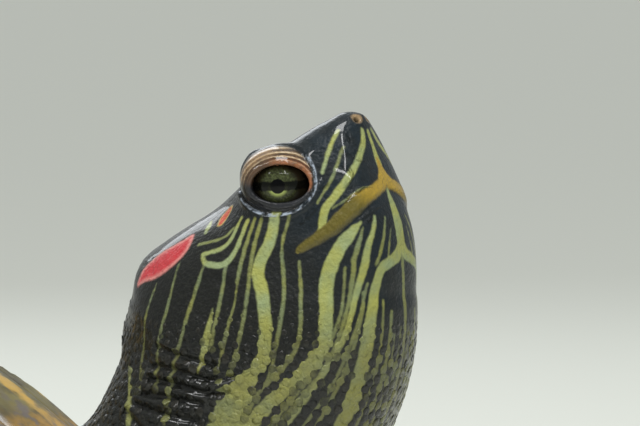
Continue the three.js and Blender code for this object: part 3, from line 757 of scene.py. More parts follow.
class Shader:
    """Builds one material's nodes. A value passed in is a number, a colour or another node's socket."""

    def __init__(self, name):
        self.material = bpy.data.materials.new(name)
        self.material.use_nodes = True
        self.tree = self.material.node_tree
        self.tree.nodes.clear()
        self.surface = self.node("ShaderNodeBsdfPrincipled")
        output = self.node("ShaderNodeOutputMaterial")
        self.link(self.surface.outputs[0], output.inputs[0])
        where = self.node("ShaderNodeTexCoord")
        scaled = self.node("ShaderNodeVectorMath", operation="SCALE")
        self.link(where.outputs["Object"], scaled.inputs[0])
        scaled.inputs["Scale"].default_value = 1 / MM
        self.place = scaled.outputs[0]

    def node(self, kind, **settings):
        made = self.tree.nodes.new(kind)
        for key, value in settings.items():
            setattr(made, key, value)
        return made

    def link(self, start, end):
        self.tree.links.new(start, end)

    def feed(self, socket, value):
        if isinstance(value, bpy.types.NodeSocket):
            self.link(value, socket)
        else:
            socket.default_value = value

    def attribute(self, name):
        return self.node("ShaderNodeAttribute", attribute_name=name).outputs["Fac"]

    def maths(self, operation, a, b=0.0, clamp=False):
        made = self.node("ShaderNodeMath", operation=operation, use_clamp=clamp)
        self.feed(made.inputs[0], a)
        self.feed(made.inputs[1], b)
        return made.outputs[0]

    def ramp(self, value, low, high, to_low=0.0, to_high=1.0, smooth=True):
        kind = "SMOOTHSTEP" if smooth else "LINEAR"
        made = self.node("ShaderNodeMapRange", interpolation_type=kind)
        for socket, given in zip(made.inputs, (value, low, high, to_low, to_high)):
            self.feed(socket, given)
        return made.outputs[0]

    def times(self, a, b):
        return self.maths("MULTIPLY", a, b)

    def plus(self, a, b, clamp=False):
        return self.maths("ADD", a, b, clamp)

    def swing(self, noise, amount):
        """A noise about 0, of the given height."""
        return self.times(self.maths("SUBTRACT", noise, 0.5), amount)

    def mix(self, factor, a, b):
        made = self.node("ShaderNodeMix", data_type="RGBA")
        self.feed(made.inputs["Factor"], factor)
        self.feed(made.inputs[6], a)
        self.feed(made.inputs[7], b)
        return made.outputs[2]

    def noise(self, scale, detail=2.0, place=None):
        made = self.node("ShaderNodeTexNoise")
        self.link(place or self.place, made.inputs["Vector"])
        made.inputs["Scale"].default_value = scale
        made.inputs["Detail"].default_value = detail
        return made.outputs["Fac"]

    def cell_edges(self, scale):
        """Distance from the edges of a net of cells."""
        made = self.node("ShaderNodeTexVoronoi", feature="DISTANCE_TO_EDGE")
        self.link(self.place, made.inputs["Vector"])
        made.inputs["Scale"].default_value = scale
        return made.outputs["Distance"]

    def stretched(self, stretch):
        made = self.node("ShaderNodeVectorMath", operation="MULTIPLY")
        self.link(self.place, made.inputs[0])
        made.inputs[1].default_value = stretch
        return made.outputs[0]

    def bump(self, height, strength, distance=0.3, after=None):
        made = self.node("ShaderNodeBump")
        made.inputs["Strength"].default_value = strength
        made.inputs["Distance"].default_value = distance * MM
        self.feed(made.inputs["Height"], height)
        if after is not None:
            self.link(after, made.inputs["Normal"])
        return made.outputs[0]

    def finish(self, colour, roughness, normal=None, **constants):
        self.feed(self.surface.inputs["Base Color"], colour)
        self.feed(self.surface.inputs["Roughness"], roughness)
        if normal is not None:
            self.link(normal, self.surface.inputs["Normal"])
        for key, value in constants.items():
            self.surface.inputs[key.replace("_", " ").title().replace("Ior", "IOR")].default_value = value
        return self.material


# Colours of the skin, its marks and lids, the eyes, claws, shell and floor, with painted shade and painted
# highlights on the lids.
SKIN_DARK = rgb(11, 13, 13)
SKIN_OLIVE = rgb(24, 26, 21)
SKIN_BLUE = rgb(16, 27, 34)
STRIPE_YELLOW = rgb(130, 132, 68)
STRIPE_PALE = rgb(116, 128, 92)
STRIPE_NECK = rgb(92, 90, 50)
PATCH_RED = rgb(158, 38, 44)
SPOT_ORANGE = rgb(160, 62, 34)
BEAK_OCHRE = rgb(80, 73, 27)
BEAK_YELLOW = rgb(142, 118, 40)
LID_ORANGE = rgb(122, 78, 50)
LID_BROWN = rgb(70, 52, 38)
PATCH_PINK = rgb(176, 110, 104)
SPOT_CREAM = rgb(150, 132, 76)
LID_TAN = rgb(126, 102, 74)
# Painted shade for the grooves between the lids' ridges, and a painted highlight for their crests.
PAINTED_GROOVE_SHADE = rgb(40, 30, 24)
PAINTED_RIDGE_HIGHLIGHT = rgb(190, 176, 148)
LID_UNDER = rgb(30, 31, 34)
# A painted highlight colour for the wet rim under the eye.
PAINTED_WET_HIGHLIGHT = rgb(150, 160, 172)
NOSTRIL_TAN = rgb(124, 104, 76)
SCALE_TONE = rgb(42, 39, 31)
BEAK_SHADE = rgb(96, 84, 40)
IRIS_DARK, IRIS_GREEN = rgb(40, 43, 27), rgb(66, 72, 45)
IRIS_RING, IRIS_EDGE = rgb(150, 162, 92), rgb(26, 22, 14)
EYE_BAR, PUPIL = rgb(7, 8, 6), rgb(1, 1, 2)
CLAW_ROOT, CLAW_TIP, CLAW_BROWN = rgb(48, 42, 33), rgb(120, 106, 80), rgb(84, 70, 48)
SHELL_OLIVE, SHELL_PALE, SHELL_STREAK = rgb(58, 54, 34), rgb(104, 96, 54), rgb(38, 34, 24)
SHELL_BAR, SHELL_SMUDGE, SHELL_SEAM = rgb(176, 140, 52), rgb(34, 30, 24), rgb(30, 26, 18)
RIM_AMBER, RIM_BROWN, SHELL_LILAC = rgb(156, 118, 46), rgb(104, 84, 50), rgb(84, 78, 80)
UNDER_YELLOW, UNDER_SEAM = rgb(184, 148, 70), rgb(70, 54, 30)
PLASTRON_YELLOW, PLASTRON_PALE, PLASTRON_SEAM = rgb(190, 158, 76), rgb(206, 178, 104), rgb(84, 62, 32)
BLOTCH_DARK = rgb(44, 38, 28)
FLOOR_GREY = rgb(214, 216, 208)


LID_RIDGES = 11.0  # ridges of the lids, in radians a millimetre


def lid_colour(s, away, ridges, carved):
    """Tan lids round the eye with painted shade in the grooves and painted highlights on the ridges, warm in
    front and dark below.
    """
    edge = s.mix(s.attribute("lid_warm"), LID_BROWN, LID_ORANGE)
    lid = s.mix(s.ramp(away, 0.9, 1.7), edge, LID_TAN)
    lid = s.mix(s.ramp(s.noise(1.1, 3.0), 0.5, 0.7, 0.0, 0.6), lid, LID_BROWN)
    # Painted shade darkens the grooves and a painted highlight lightens the crests, following the ridges'
    # bump.
    lid = s.mix(s.times(s.ramp(ridges, -1.0, 0.1, 0.85, 0.0), carved), lid, PAINTED_GROOVE_SHADE)
    lid = s.mix(s.times(s.ramp(ridges, 0.3, 1.0, 0.0, 0.6), carved), lid, PAINTED_RIDGE_HIGHLIGHT)
    return s.mix(s.attribute("lid_low"), lid, LID_UNDER)


def skin_bumps(s, fine, ridges, carved):
    """Creases between scales, pebbles, the lids' ridges and the wet film's edges."""
    gaps = s.ramp(s.cell_edges(0.8), 0.02, 0.16)
    crease = s.times(s.maths("SUBTRACT", 1.0, gaps), s.attribute("scaly"))
    normal = s.bump(s.times(crease, -1.0), 0.4, 0.15)
    normal = s.bump(s.noise(0.55), 0.6, 0.35, normal)
    for scale in (1.3, 1.7):
        normal = s.bump(s.noise(scale), 0.7, 0.22, normal)
    normal = s.bump(fine, 0.12, 0.2, normal)
    normal = s.bump(s.times(s.times(ridges, carved), s.attribute("lid")), 1.0, 0.22, normal)
    film = s.ramp(s.attribute("film"), 0.0, 0.5, 1.0, 0.0)
    return s.bump(s.times(film, s.ramp(s.noise(0.8), 0.35, 0.6)), 1.0, 0.4, normal)


def skin_material():
    s = Shader("turtle_skin")
    wander = s.swing(s.noise(0.9, 3.0), 0.7)
    patchy = s.noise(0.22, 3.0)
    fine = s.noise(2.6, 3.0)
    base = s.mix(s.ramp(fine, 0.42, 0.72, 0.0, 0.8), SKIN_DARK, SKIN_OLIVE)
    base = s.mix(s.times(s.attribute("tone"), 0.45), base, SCALE_TONE)
    base = s.mix(s.times(s.attribute("face"), s.ramp(patchy, 0.3, 0.7, 0.3, 0.9)), base, SKIN_BLUE)

    def layer(under, name, colour, edge=0.22, strength=1.0):
        distance = s.plus(s.attribute(name), s.times(wander, 0.6))
        cover = s.ramp(distance, -edge, edge, strength, 0.0)
        return s.mix(cover, under, colour)

    yellow = s.mix(s.ramp(patchy, 0.3, 0.7), STRIPE_PALE, STRIPE_YELLOW)
    yellow = s.mix(s.times(s.attribute("scaly"), 0.6), yellow, STRIPE_NECK)
    colour = layer(base, "thin", yellow, 0.2, 0.62)
    colour = layer(colour, "stripe", yellow)
    horn = s.mix(s.attribute("front"), BEAK_OCHRE, BEAK_YELLOW)
    colour = layer(colour, "beak", s.mix(s.ramp(fine, 0.4, 0.8, 0.0, 0.4), horn, BEAK_SHADE))
    spot = s.mix(s.ramp(s.attribute("orange"), -0.5, -0.1), SPOT_ORANGE, SPOT_CREAM)
    colour = layer(colour, "orange", spot)
    blush = s.plus(s.ramp(s.attribute("red"), -1.1, -0.1), s.ramp(fine, 0.5, 0.8, 0.0, 0.3), True)
    colour = layer(colour, "red", s.mix(blush, PATCH_RED, PATCH_PINK), 0.35)

    away = s.plus(s.attribute("lid_out"), s.swing(fine, 0.25))
    ridges = s.maths("SINE", s.times(away, LID_RIDGES))
    fading = s.ramp(s.attribute("lid_warm"), 0.0, 1.0, 0.45, 1.0)
    carved = s.times(s.ramp(away, 0.5, 1.1), fading)
    colour = s.mix(s.attribute("lid"), colour, lid_colour(s, away, ridges, carved))
    # A painted wet highlight, broken up by noise, along the lids' lower rim.
    painted_rim_highlight = s.ramp(s.attribute("lid_rim"), 0.12, 0.4, 0.8, 0.0)
    colour = s.mix(s.times(painted_rim_highlight, s.ramp(s.noise(0.9, 3.0), 0.38, 0.6)), colour, PAINTED_WET_HIGHLIGHT)
    colour = s.mix(s.attribute("nostril"), colour, NOSTRIL_TAN)
    roughness = s.ramp(fine, 0.3, 0.8, 0.35, 0.55, smooth=False)
    coat = {"coat_weight": 0.55, "coat_roughness": 0.05, "coat_ior": 1.4}
    return s.finish(colour, roughness, skin_bumps(s, fine, ridges, carved), specular_ior_level=0.15, **coat)


def eye_material():
    """A green iris with a pale ring below the pupil, a dark bar across it and a round pupil. Above the pupil
    the iris stays dark as painted shade from the upper lid.
    """
    s = Shader("turtle_eye")
    angle = s.attribute("gaze")
    height = s.attribute("bar")
    iris = s.mix(s.ramp(s.noise(3.0, 4.0), 0.4, 0.65, 0.0, 0.8), IRIS_DARK, IRIS_GREEN)
    # The pale ring shows only below the pupil; above it the iris is left dark as painted shade from the upper
    # lid.
    ring = s.times(s.ramp(angle, 0.36, 0.22), s.ramp(height, 0.5, -0.5))
    iris = s.mix(s.times(ring, 0.8), iris, IRIS_RING)
    iris = s.mix(s.ramp(angle, 0.42, 0.72), iris, IRIS_EDGE)
    wavering = s.plus(s.maths("ABSOLUTE", height), s.times(s.noise(1.2), 0.5))
    colour = s.mix(s.ramp(wavering, 0.75, 1.05, 0.97, 0.0), iris, EYE_BAR)
    colour = s.mix(s.ramp(angle, 0.205, 0.235, 1.0, 0.0), colour, PUPIL)
    coat = {"coat_weight": 0.65, "coat_roughness": 0.02, "coat_ior": 1.33}
    return s.finish(colour, 0.35, specular_ior_level=0.0, **coat)


def claw_material():
    s = Shader("turtle_claw")
    base = s.mix(s.ramp(s.attribute("along"), 0.1, 0.9), CLAW_ROOT, CLAW_TIP)
    colour = s.mix(s.ramp(s.noise(0.8, 3.0), 0.4, 0.75, 0.0, 0.5), base, CLAW_BROWN)
    return s.finish(colour, 0.35, s.bump(s.noise(1.6, 3.0), 0.2, 0.15), coat_weight=0.4, coat_roughness=0.15)


def carapace_material():
    """Olive plates with pale bars, smudges, a ragged amber rim and a yellow underside."""
    s = Shader("turtle_carapace")
    seam, rim = s.attribute("seam"), s.attribute("rim")
    streak = s.noise(0.35, 4.0, s.stretched((1.0, 0.35, 1.0)))
    base = s.mix(s.ramp(s.noise(0.07, 4.0), 0.35, 0.68), SHELL_OLIVE, SHELL_PALE)
    base = s.mix(s.ramp(streak, 0.5, 0.75, 0.0, 0.6), base, SHELL_STREAK)
    bars = s.plus(s.attribute("bars"), s.swing(s.noise(0.25, 4.0), 7.0))
    colour = s.mix(s.ramp(bars, -0.9, 0.9, 0.85, 0.0), base, SHELL_BAR)
    dark = s.plus(s.attribute("smudge"), s.swing(s.noise(0.3, 4.0), 7.0))
    colour = s.mix(s.ramp(dark, -1.0, 1.0, 0.85, 0.0), colour, SHELL_SMUDGE)
    colour = s.mix(s.ramp(seam, 0.3, 1.3, 0.75, 0.0), colour, SHELL_SEAM)
    belly = s.mix(s.ramp(dark, -1.0, 1.0, 0.9, 0.0), UNDER_YELLOW, BLOTCH_DARK)
    belly = s.mix(s.ramp(seam, 0.2, 1.0, 0.5, 0.0), belly, UNDER_SEAM)
    ragged = s.times(s.noise(0.22, 5.0), 0.9)
    amber = s.mix(s.ramp(s.noise(0.5, 4.0), 0.4, 0.65), RIM_AMBER, RIM_BROWN)
    colour = s.mix(s.ramp(s.plus(rim, ragged), 0.75, 1.45, 0.0, 0.7), colour, amber)
    lilac = s.times(s.ramp(s.noise(0.3, 5.0), 0.54, 0.66, 0.0, 0.75), s.ramp(rim, 0.0, 0.5, 0.35, 1.0))
    colour = s.mix(lilac, colour, SHELL_LILAC)
    colour = s.mix(s.attribute("under"), colour, belly)
    normal = s.bump(s.noise(2.2, 3.0), 0.15, 0.15, s.bump(streak, 0.35, 0.35))
    roughness = s.ramp(streak, 0.3, 0.8, 0.32, 0.55)
    return s.finish(colour, roughness, normal, coat_weight=0.35, coat_roughness=0.2)


def plastron_material():
    """Yellow with dark blotches and brown seams."""
    s = Shader("turtle_plastron")
    base = s.mix(s.ramp(s.noise(0.08, 4.0), 0.35, 0.7), PLASTRON_YELLOW, PLASTRON_PALE)
    dark = s.plus(s.attribute("smudge"), s.swing(s.noise(0.22, 4.0), 9.0))
    colour = s.mix(s.ramp(dark, -1.2, 1.2, 0.9, 0.0), base, BLOTCH_DARK)
    colour = s.mix(s.ramp(s.attribute("seam"), 0.2, 1.1, 0.6, 0.0), colour, PLASTRON_SEAM)
    return s.finish(colour, 0.42, s.bump(s.noise(0.9, 4.0), 0.3, 0.25), coat_weight=0.3, coat_roughness=0.2)


# ---- skin ----
def build_skin():
    scale = 1.0
    axes = skin_grid(scale)
    field = band_field(body_distance, axes, 3.4 * max(1.0, scale * 0.8))
    points, quads = surface_net(field, axes)
    return points, quads


def vertex_normals(points, quads):
    p = points[quads]
    face = np.cross(p[:, 2] - p[:, 0], p[:, 3] - p[:, 1])
    total = np.zeros_like(points)
    for k in range(4):
        np.add.at(total, quads[:, k], face)
    return total / np.maximum(np.linalg.norm(total, axis=1), 1e-12)[:, None]


# ---- markings ----
# Each stripe is a line of places on one side of the head (a, b, c), with its half width there. The other side
# is its mirror image.
STRIPES = {
    "snout_upper": [
        (-0.8, 4.8, 9.2, 0.22), (-2.2, 6.1, 8.2, 0.32), (-3.6, 7.2, 7.0, 0.34), (-5.6, 8.6, 5.2, 0.24),
    ],
    "snout_nostril": [
        (0.8, 1.4, 7.5, 0.4), (-0.2, 2.4, 5.6, 0.5), (-2.1, 5.4, 3.1, 0.5), (-5.0, 8.2, 1.4, 0.6),
        (-8.7, 10.0, 0.3, 0.65), (-11.0, 10.7, -1.8, 0.6),
    ],
    "snout_front": [(0.7, 0, 7.3, 0.35), (-0.3, 0, 5.0, 0.45), (-1.4, 0, 2.5, 0.8)],
    "cheek": [
        (-14.3, 11.8, 5.3, 0.75), (-17.3, 13.3, 2.5, 0.9), (-21.3, 14.9, 0.2, 0.95),
        (-22.8, 16.3, -3.4, 1.0), (-26.2, 17.8, -8.5, 1.0), (-30.0, 18.4, -11.2, 1.1),
        (-34.4, 19.2, -11.4, 1.6),
    ],
    "blotch": [(-34.4, 19.2, -11.8, 1.6), (-37.4, 19.6, -12.6, 2.5), (-41.5, 19.6, -14.6, 2.4)],
    "jaw": [
        (-6.6, 7.4, -4.3, 0.2), (-8.6, 8.6, -4.7, 0.8), (-11.6, 10.0, -5.6, 1.05), (-15.4, 11.4, -7.9, 1.1),
        (-18.2, 13.0, -12.0, 1.1), (-23.0, 14.0, -16.0, 1.1), (-32.2, 17.2, -16.3, 1.15),
        (-40.5, 18.6, -16.6, 1.3),
    ],
    "chin_side": [
        (-5.3, 5.1, -4.5, 0.25), (-6.8, 6.1, -6.3, 0.4), (-8.5, 7.2, -7.7, 0.5), (-10.5, 7.8, -9.5, 0.6),
        (-14.0, 9.3, -12.2, 0.5), (-19.4, 11.3, -16.3, 0.45), (-26.5, 13.7, -18.7, 0.45),
        (-36.0, 15.6, -20.2, 0.45),
    ],
    "chin_middle": [
        (-2.9, 0, -1.1, 0.3), (-3.5, 0, -2.4, 0.5), (-4.2, 0, -3.9, 0.85), (-5.2, 0, -5.7, 1.1),
        (-6.2, 0, -7.3, 1.15), (-7.3, 0, -8.8, 1.1),
    ],
    "chin_fork": [
        (-7.0, 0, -8.4, 0.9), (-8.2, 1.2, -9.9, 0.95), (-9.0, 3.5, -10.6, 0.85), (-10.4, 5.6, -11.2, 0.75),
        (-14.4, 7.2, -15.0, 0.9), (-22.8, 8.1, -21.0, 1.25), (-36.0, 8.6, -26.0, 1.3),
    ],
    "thin_j": [
        (-18.4, 13.0, 7.7, 0.35), (-22.2, 14.7, 5.1, 0.4), (-24.9, 15.7, 4.8, 0.5),
        (-26.9, 15.6, 7.0, 0.45), (-27.1, 14.8, 8.5, 0.3),
    ],
    "thin_back": [(-19.1, 12.7, 9.2, 0.3), (-22.9, 14.4, 7.1, 0.38), (-26.9, 14.6, 8.7, 0.35)],
    "behind_cheek": [
        (-30.2, 17.0, 0.7, 0.1), (-32.1, 17.8, -0.9, 0.4), (-33.6, 18.2, -2.1, 0.6),
        (-35.3, 18.4, -3.4, 0.5), (-38.2, 19.0, -5.2, 0.1),
    ],
    "neck_back": [
        (-47.8, 14.4, 6.4, 0.1), (-49.6, 16.9, 2.2, 0.45), (-50.9, 18.2, 0.3, 0.55),
        (-54.5, 19.6, -5.0, 0.1),
    ],
    "streak": [(-24.9, 8.9, 13.3, 0.25), (-25.2, 10.2, 12.6, 0.45), (-25.7, 11.4, 11.8, 0.3)],
}
THIN_STRIPES = {
    "chin": [
        (-5.0, 3.1, -5.1, 0.15), (-6.4, 4.2, -7.2, 0.26), (-8.3, 5.3, -9.1, 0.3), (-9.8, 6.3, -10.2, 0.25),
    ],
    "chin_front": [(-5.8, 2.4, -6.7, 0.1), (-7.3, 3.3, -8.6, 0.2), (-8.6, 3.7, -10.0, 0.2)],
    "throat_low": [
        (-13.2, 8.4, -12.6, 0.2), (-15.5, 8.9, -15.0, 0.3), (-23.4, 10.6, -19.8, 0.3),
        (-36, 12.4, -23.4, 0.3),
    ],
    "throat_centre": [
        (-7.6, 0, -9.2, 0.4), (-11.9, 0, -14.0, 0.42), (-20.0, 0, -21.0, 0.4), (-36, 0, -28, 0.4),
    ],
    "back": [(-20.9, 13.3, 8.8, 0.28), (-23.0, 13.8, 8.9, 0.3), (-27.0, 13.2, 10.8, 0.28)],
    "cheek_upper": [
        (-16.5, 12.5, 6.0, 0.28), (-20.7, 14.6, 2.5, 0.32), (-26.0, 18.2, -3.3, 0.3),
        (-34.0, 19.2, -9.0, 0.3),
    ],
    "cheek_back": [
        (-17.3, 12.8, 6.9, 0.28), (-21.8, 14.8, 3.5, 0.32), (-27.7, 18.6, -1.8, 0.3),
        (-36, 19.4, -7.6, 0.3),
    ],
    "under_cheek": [
        (-13.0, 11.6, 3.4, 0.2), (-17.0, 12.9, 0.2, 0.25), (-21.0, 15.2, -6.0, 0.3),
        (-29.0, 17.9, -13.0, 0.3),
    ],
    "under_corner": [
        (-16.4, 12.4, -3.0, 0.2), (-19.6, 13.6, -7.6, 0.28), (-25.0, 15.8, -13.2, 0.3),
        (-34, 18.7, -14.2, 0.3),
    ],
    "jaw_side": [
        (-12.6, 9.4, -8.0, 0.2), (-17.6, 11.8, -13.8, 0.28), (-25.0, 14.6, -17.4, 0.3),
        (-36, 17.0, -18.6, 0.3),
    ],
    "throat": [(-14.0, 3.6, -16.2, 0.3), (-21.1, 3.9, -21.6, 0.35), (-36, 4.4, -27.0, 0.35)],
    "snout_side": [(-2.2, 5.2, 6.4, 0.2), (-5.2, 8.0, 3.6, 0.25), (-9.0, 9.8, 2.0, 0.2)],
    "throat_side": [(-13.0, 5.2, -14.6, 0.2), (-21.6, 5.6, -21.6, 0.28), (-36, 6.2, -27.0, 0.28)],
    "throat_front": [(-16.0, 1.2, -17.6, 0.2), (-22.0, 1.4, -22.6, 0.3), (-36, 1.6, -28.0, 0.3)],
    "throat_mid": [(-17.0, 2.6, -18.0, 0.2), (-22.0, 2.7, -22.2, 0.26), (-36, 2.9, -27.6, 0.26)],
    "jaw_low": [
        (-7.0, 7.2, -5.0, 0.15), (-8.8, 8.2, -6.6, 0.3), (-10.8, 8.9, -8.0, 0.36), (-12.6, 9.1, -9.7, 0.36),
        (-16.5, 10.6, -13.4, 0.3), (-23.4, 13.2, -17.6, 0.28), (-36.0, 16.4, -19.4, 0.28),
    ],
    "chin_low": [
        (-12.0, 7.9, -12.0, 0.2), (-17.4, 9.6, -16.0, 0.26), (-25.0, 11.8, -20.0, 0.28),
        (-36, 14.0, -22.0, 0.28),
    ],
    "from_j": [
        (-24.3, 15.5, 4.6, 0.25), (-27.3, 16.3, 1.8, 0.3), (-30.8, 17.5, -1.1, 0.3),
        (-34.3, 18.3, -3.9, 0.3),
    ],
    "from_blob": [
        (-27.0, 15.3, 7.2, 0.2), (-30.7, 16.4, 4.9, 0.26), (-34.5, 17.7, 2.4, 0.3),
        (-38.4, 18.5, -0.1, 0.3), (-42.6, 18.5, -2.6, 0.3), (-47.7, 19.5, -6.7, 0.3),
    ],
    "from_patch": [
        (-30.8, 14.2, 10.7, 0.15), (-34.0, 16.0, 8.0, 0.22), (-37.6, 17.3, 5.3, 0.26),
        (-41.4, 17.7, 2.6, 0.3), (-45.5, 18.5, -1.3, 0.3),
    ],
    "behind_patch": [
        (-36.0, 14.6, 11.2, 0.15), (-40.0, 15.8, 8.4, 0.25), (-45.3, 16.3, 4.0, 0.3),
        (-48.0, 18.0, 0.4, 0.3),
    ],
    "cheek_fold": [
        (-26.0, 17.3, -10.6, 0.2), (-30.0, 18.0, -13.4, 0.26), (-35.0, 18.6, -14.6, 0.28),
        (-41, 19.0, -17.0, 0.28),
    ],
    "lip": [
        (-2.8, 3.4, -0.8, 0.1), (-3.3, 5.6, -0.4, 0.14), (-4.2, 7.2, -0.4, 0.16), (-5.8, 8.4, -0.5, 0.16),
        (-7.9, 9.6, -0.2, 0.14),
    ],
}
RED_PATCH = [
    (-28.3, 11.2, 13.3, 0.7), (-30.2, 12.3, 12.8, 1.95), (-32.4, 12.5, 13.1, 2.5), (-35.0, 12.2, 13.8, 2.5),
    (-37.3, 11.9, 14.5, 1.8), (-39.4, 12.0, 14.2, 0.6),
]
ORANGE_SPOT = [(-21.3, 8.9, 12.3, 0.8), (-22.2, 9.5, 12.0, 1.15), (-23.1, 10.5, 11.3, 0.75)]
BEAK_FRONT = [(-1.1, 0, 3.4, 0.3), (-1.5, 0, 2.4, 0.6), (-2.0, 0, 1.2, 1.0), (-2.6, 0, -0.1, 1.7)]
BEAK_BAND = [(-15.8, 0.75), (-14.2, 1.2), (-11.4, 1.75), (-8.5, 2.15), (-5.1, 2.2), (-3.8, 1.9), (-2.8, 1.5)]

# Folds in the skin of the neck, as lines with half width 0, beside the jaw and where the neck bends.
FOLDS = [
    [(-44.0, 19.0, 2.0, 0), (-40.5, 20.0, -2.6, 0), (-37.5, 20.0, -7.0, 0), (-34.0, 18.8, -9.5, 0)],
    [(-48.0, 19.0, 0.0, 0), (-44.0, 20.2, -4.6, 0), (-41.0, 20.2, -8.6, 0)],
    [(-52.0, 17.5, -1.0, 0), (-50.5, 20.0, -8.0, 0), (-46.5, 20.0, -15.0, 0), (-42.0, 17.0, -21.0, 0)],
    [(-41.5, 18.5, 3.4, 0), (-38.6, 19.2, -1.4, 0), (-35.5, 18.8, -6.0, 0)],
    [(-45.8, 19.0, 1.2, 0), (-42.4, 20.0, -3.4, 0), (-39.6, 20.0, -7.6, 0), (-36.5, 19.2, -10.6, 0)],
    [(-50.0, 18.6, -0.5, 0), (-46.4, 20.2, -5.8, 0), (-43.0, 20.2, -10.4, 0)],
]

# Creases of the wet skin on the snout, the lips and the jaw, which sink away at their ends.
CREASES = [
    [(-0.4, 4.4, 8.8, -0.5), (-0.6, 4.5, 6.9, 0), (-0.9, 4.4, 5.4, 0), (-0.8, 3.3, 4.5, -0.5)],
    [
        (-1.5, 5.7, 6.1, -0.5), (-1.8, 5.8, 5.1, 0), (-1.5, 4.6, 3.7, 0), (-1.6, 2.8, 2.4, 0),
        (-2.4, 2.5, 0.1, -0.5),
    ],
    [
        (-3.2, 7.1, 5.5, -0.5), (-3, 6.9, 4, 0), (-2.9, 6.5, 2.4, 0), (-4.2, 7.5, 1.4, 0),
        (-5.5, 8.4, 1.1, -0.5),
    ],
    [(-5.5, 8.4, 4.4, -0.5), (-6.1, 8.9, 3.5, 0), (-7.1, 9.5, 3.3, 0), (-8, 10, 2.9, -0.5)],
    [(-7.1, 9.4, 1.7, -0.5), (-9.6, 10.4, 1.6, 0), (-12.2, 11.3, 1.2, 0), (-13.2, 11.6, 1.2, -0.5)],
    [(-4.3, 2.7, -3.8, -0.5), (-4.4, 4, -3.4, 0), (-5.5, 6, -3.8, 0), (-6.9, 7.7, -3.9, -0.5)],
    [(-5.1, 4.7, -4.5, -0.5), (-6, 6.3, -4.6, 0), (-7.3, 7.5, -5.2, -0.5)],
    [
        (-2.8, 3.4, -0.8, -0.5), (-3.3, 5.6, -0.4, 0), (-4.2, 7.2, -0.4, 0), (-5.8, 8.4, -0.5, 0),
        (-7.9, 9.6, -0.2, -0.5),
    ],
]

# Stripes that run down the neck: degrees round from the throat, half width.
NECK_STRIPES = [(0, 0.6), (22.5, 1.0), (44, 0.5), (61, 1.25), (72, 1.9), (92, 0.35), (125, 0.8), (153, 0.6)]
NECK_THIN = [(4, 0.25), (9, 0.3), (14, 0.3), (30, 0.3), (36, 0.3), (51, 0.3), (81, 0.3), (87, 0.25)]
NECK_THIN += [(98, 0.3), (104, 0.25), (112, 0.3), (118, 0.3), (134, 0.3), (142, 0.3), (160, 0.3)]
NECK_THIN += [(168, 0.35), (177, 0.3)]
# The same for the legs and the tail, all the way round.
LIMB_STRIPES = [(-118, 0.9), (-62, 0.7), (-20, 1.0), (26, 0.7), (70, 1.0), (128, 0.8)]
NOWHERE = 9.0  # the distance given where no mark is near
STRIPE_STEPS = 6
STRIPE_REACH = 6.0
STRIPE_DEPTH = 4.0


def mirrored_head(points, normals):
    """Places and normals in the head's frame, all turned to its left side."""
    local = to_head(points)
    turned = normals @ HEAD_TURN.T
    flip = np.where(local[:, 1] < 0, -1.0, 1.0)
    local[:, 1] *= flip
    turned[:, 1] *= flip
    return local, turned


def stripe_distance(points, normals, line):
    """Distance over the surface from a tapering line, less its half width, in the mirrored head's frame."""
    rows = catmull_rom(line, STRIPE_STEPS * (len(line) - 1))
    best = np.full(len(points), NOWHERE)
    near = inside_box(points, rows[:, :3].min(0), rows[:, :3].max(0), STRIPE_REACH)
    p, n = points[near], normals[near]
    found = best[near]
    for start, end in zip(rows[:-1], rows[1:]):
        axis = end[:3] - start[:3]
        t = np.clip((p - start[:3]) @ axis / (axis @ axis), 0, 1)
        offset = p - start[:3] - t[:, None] * axis
        depth = (offset * n).sum(1)
        over = np.sqrt(np.maximum((offset**2).sum(1) - depth**2, 0))
        over = over + np.maximum(np.abs(depth) - STRIPE_DEPTH, 0)
        found = np.minimum(found, over - (start[3] + t * (end[3] - start[3])))
    best[near] = found
    return best


def press_folds(points, normals):
    """Pushes the skin in along each fold and raises a lip beside it."""
    local, turned = mirrored_head(points, normals)
    push = np.zeros(len(points))
    for line in FOLDS:
        gap = stripe_distance(local, turned, line)
        push += -0.45 * bell(gap, 0.4) + 0.25 * bell(gap - 0.95, 0.5)
    return points + normals * push[:, None]


def stripes_distance(points, normals, lines):
    return np.min([stripe_distance(points, normals, line) for line in lines], axis=0)


def round_distance(tube, points, stripes, mirrored):
    """Distance round a tube from stripes that run along it, less their half widths."""
    place, across, up, _, thick, wide = tube.nearest(points)
    if mirrored:
        across = np.abs(across)
    around = np.degrees(np.arctan2(across / wide, up / thick))
    radius = np.hypot(across, up)
    best = np.full(len(points), NOWHERE)
    for k, (angle, half) in enumerate(stripes):
        wander = 2.2 * np.sin(place / 6.5 + 1.7 * k) + 1.3 * np.sin(place / 2.9 + 2.3 * k)
        gap = (around - angle - wander + 180) % 360 - 180
        best = np.minimum(best, np.abs(np.radians(gap)) * radius - half)
    return best


def beak_distance(local, front):
    """The horn band along the upper beak: over the mouth line, joined to its point at the front."""
    a = local[:, 0]
    over = over_mouth(local)
    high = np.interp(a, *np.array(BEAK_BAND).T)
    band = smooth_union(over - high, front, 0.6)
    return np.maximum(np.maximum(band, -over - 0.1), MOUTH_LINE[-1][0] - 0.8 - a)


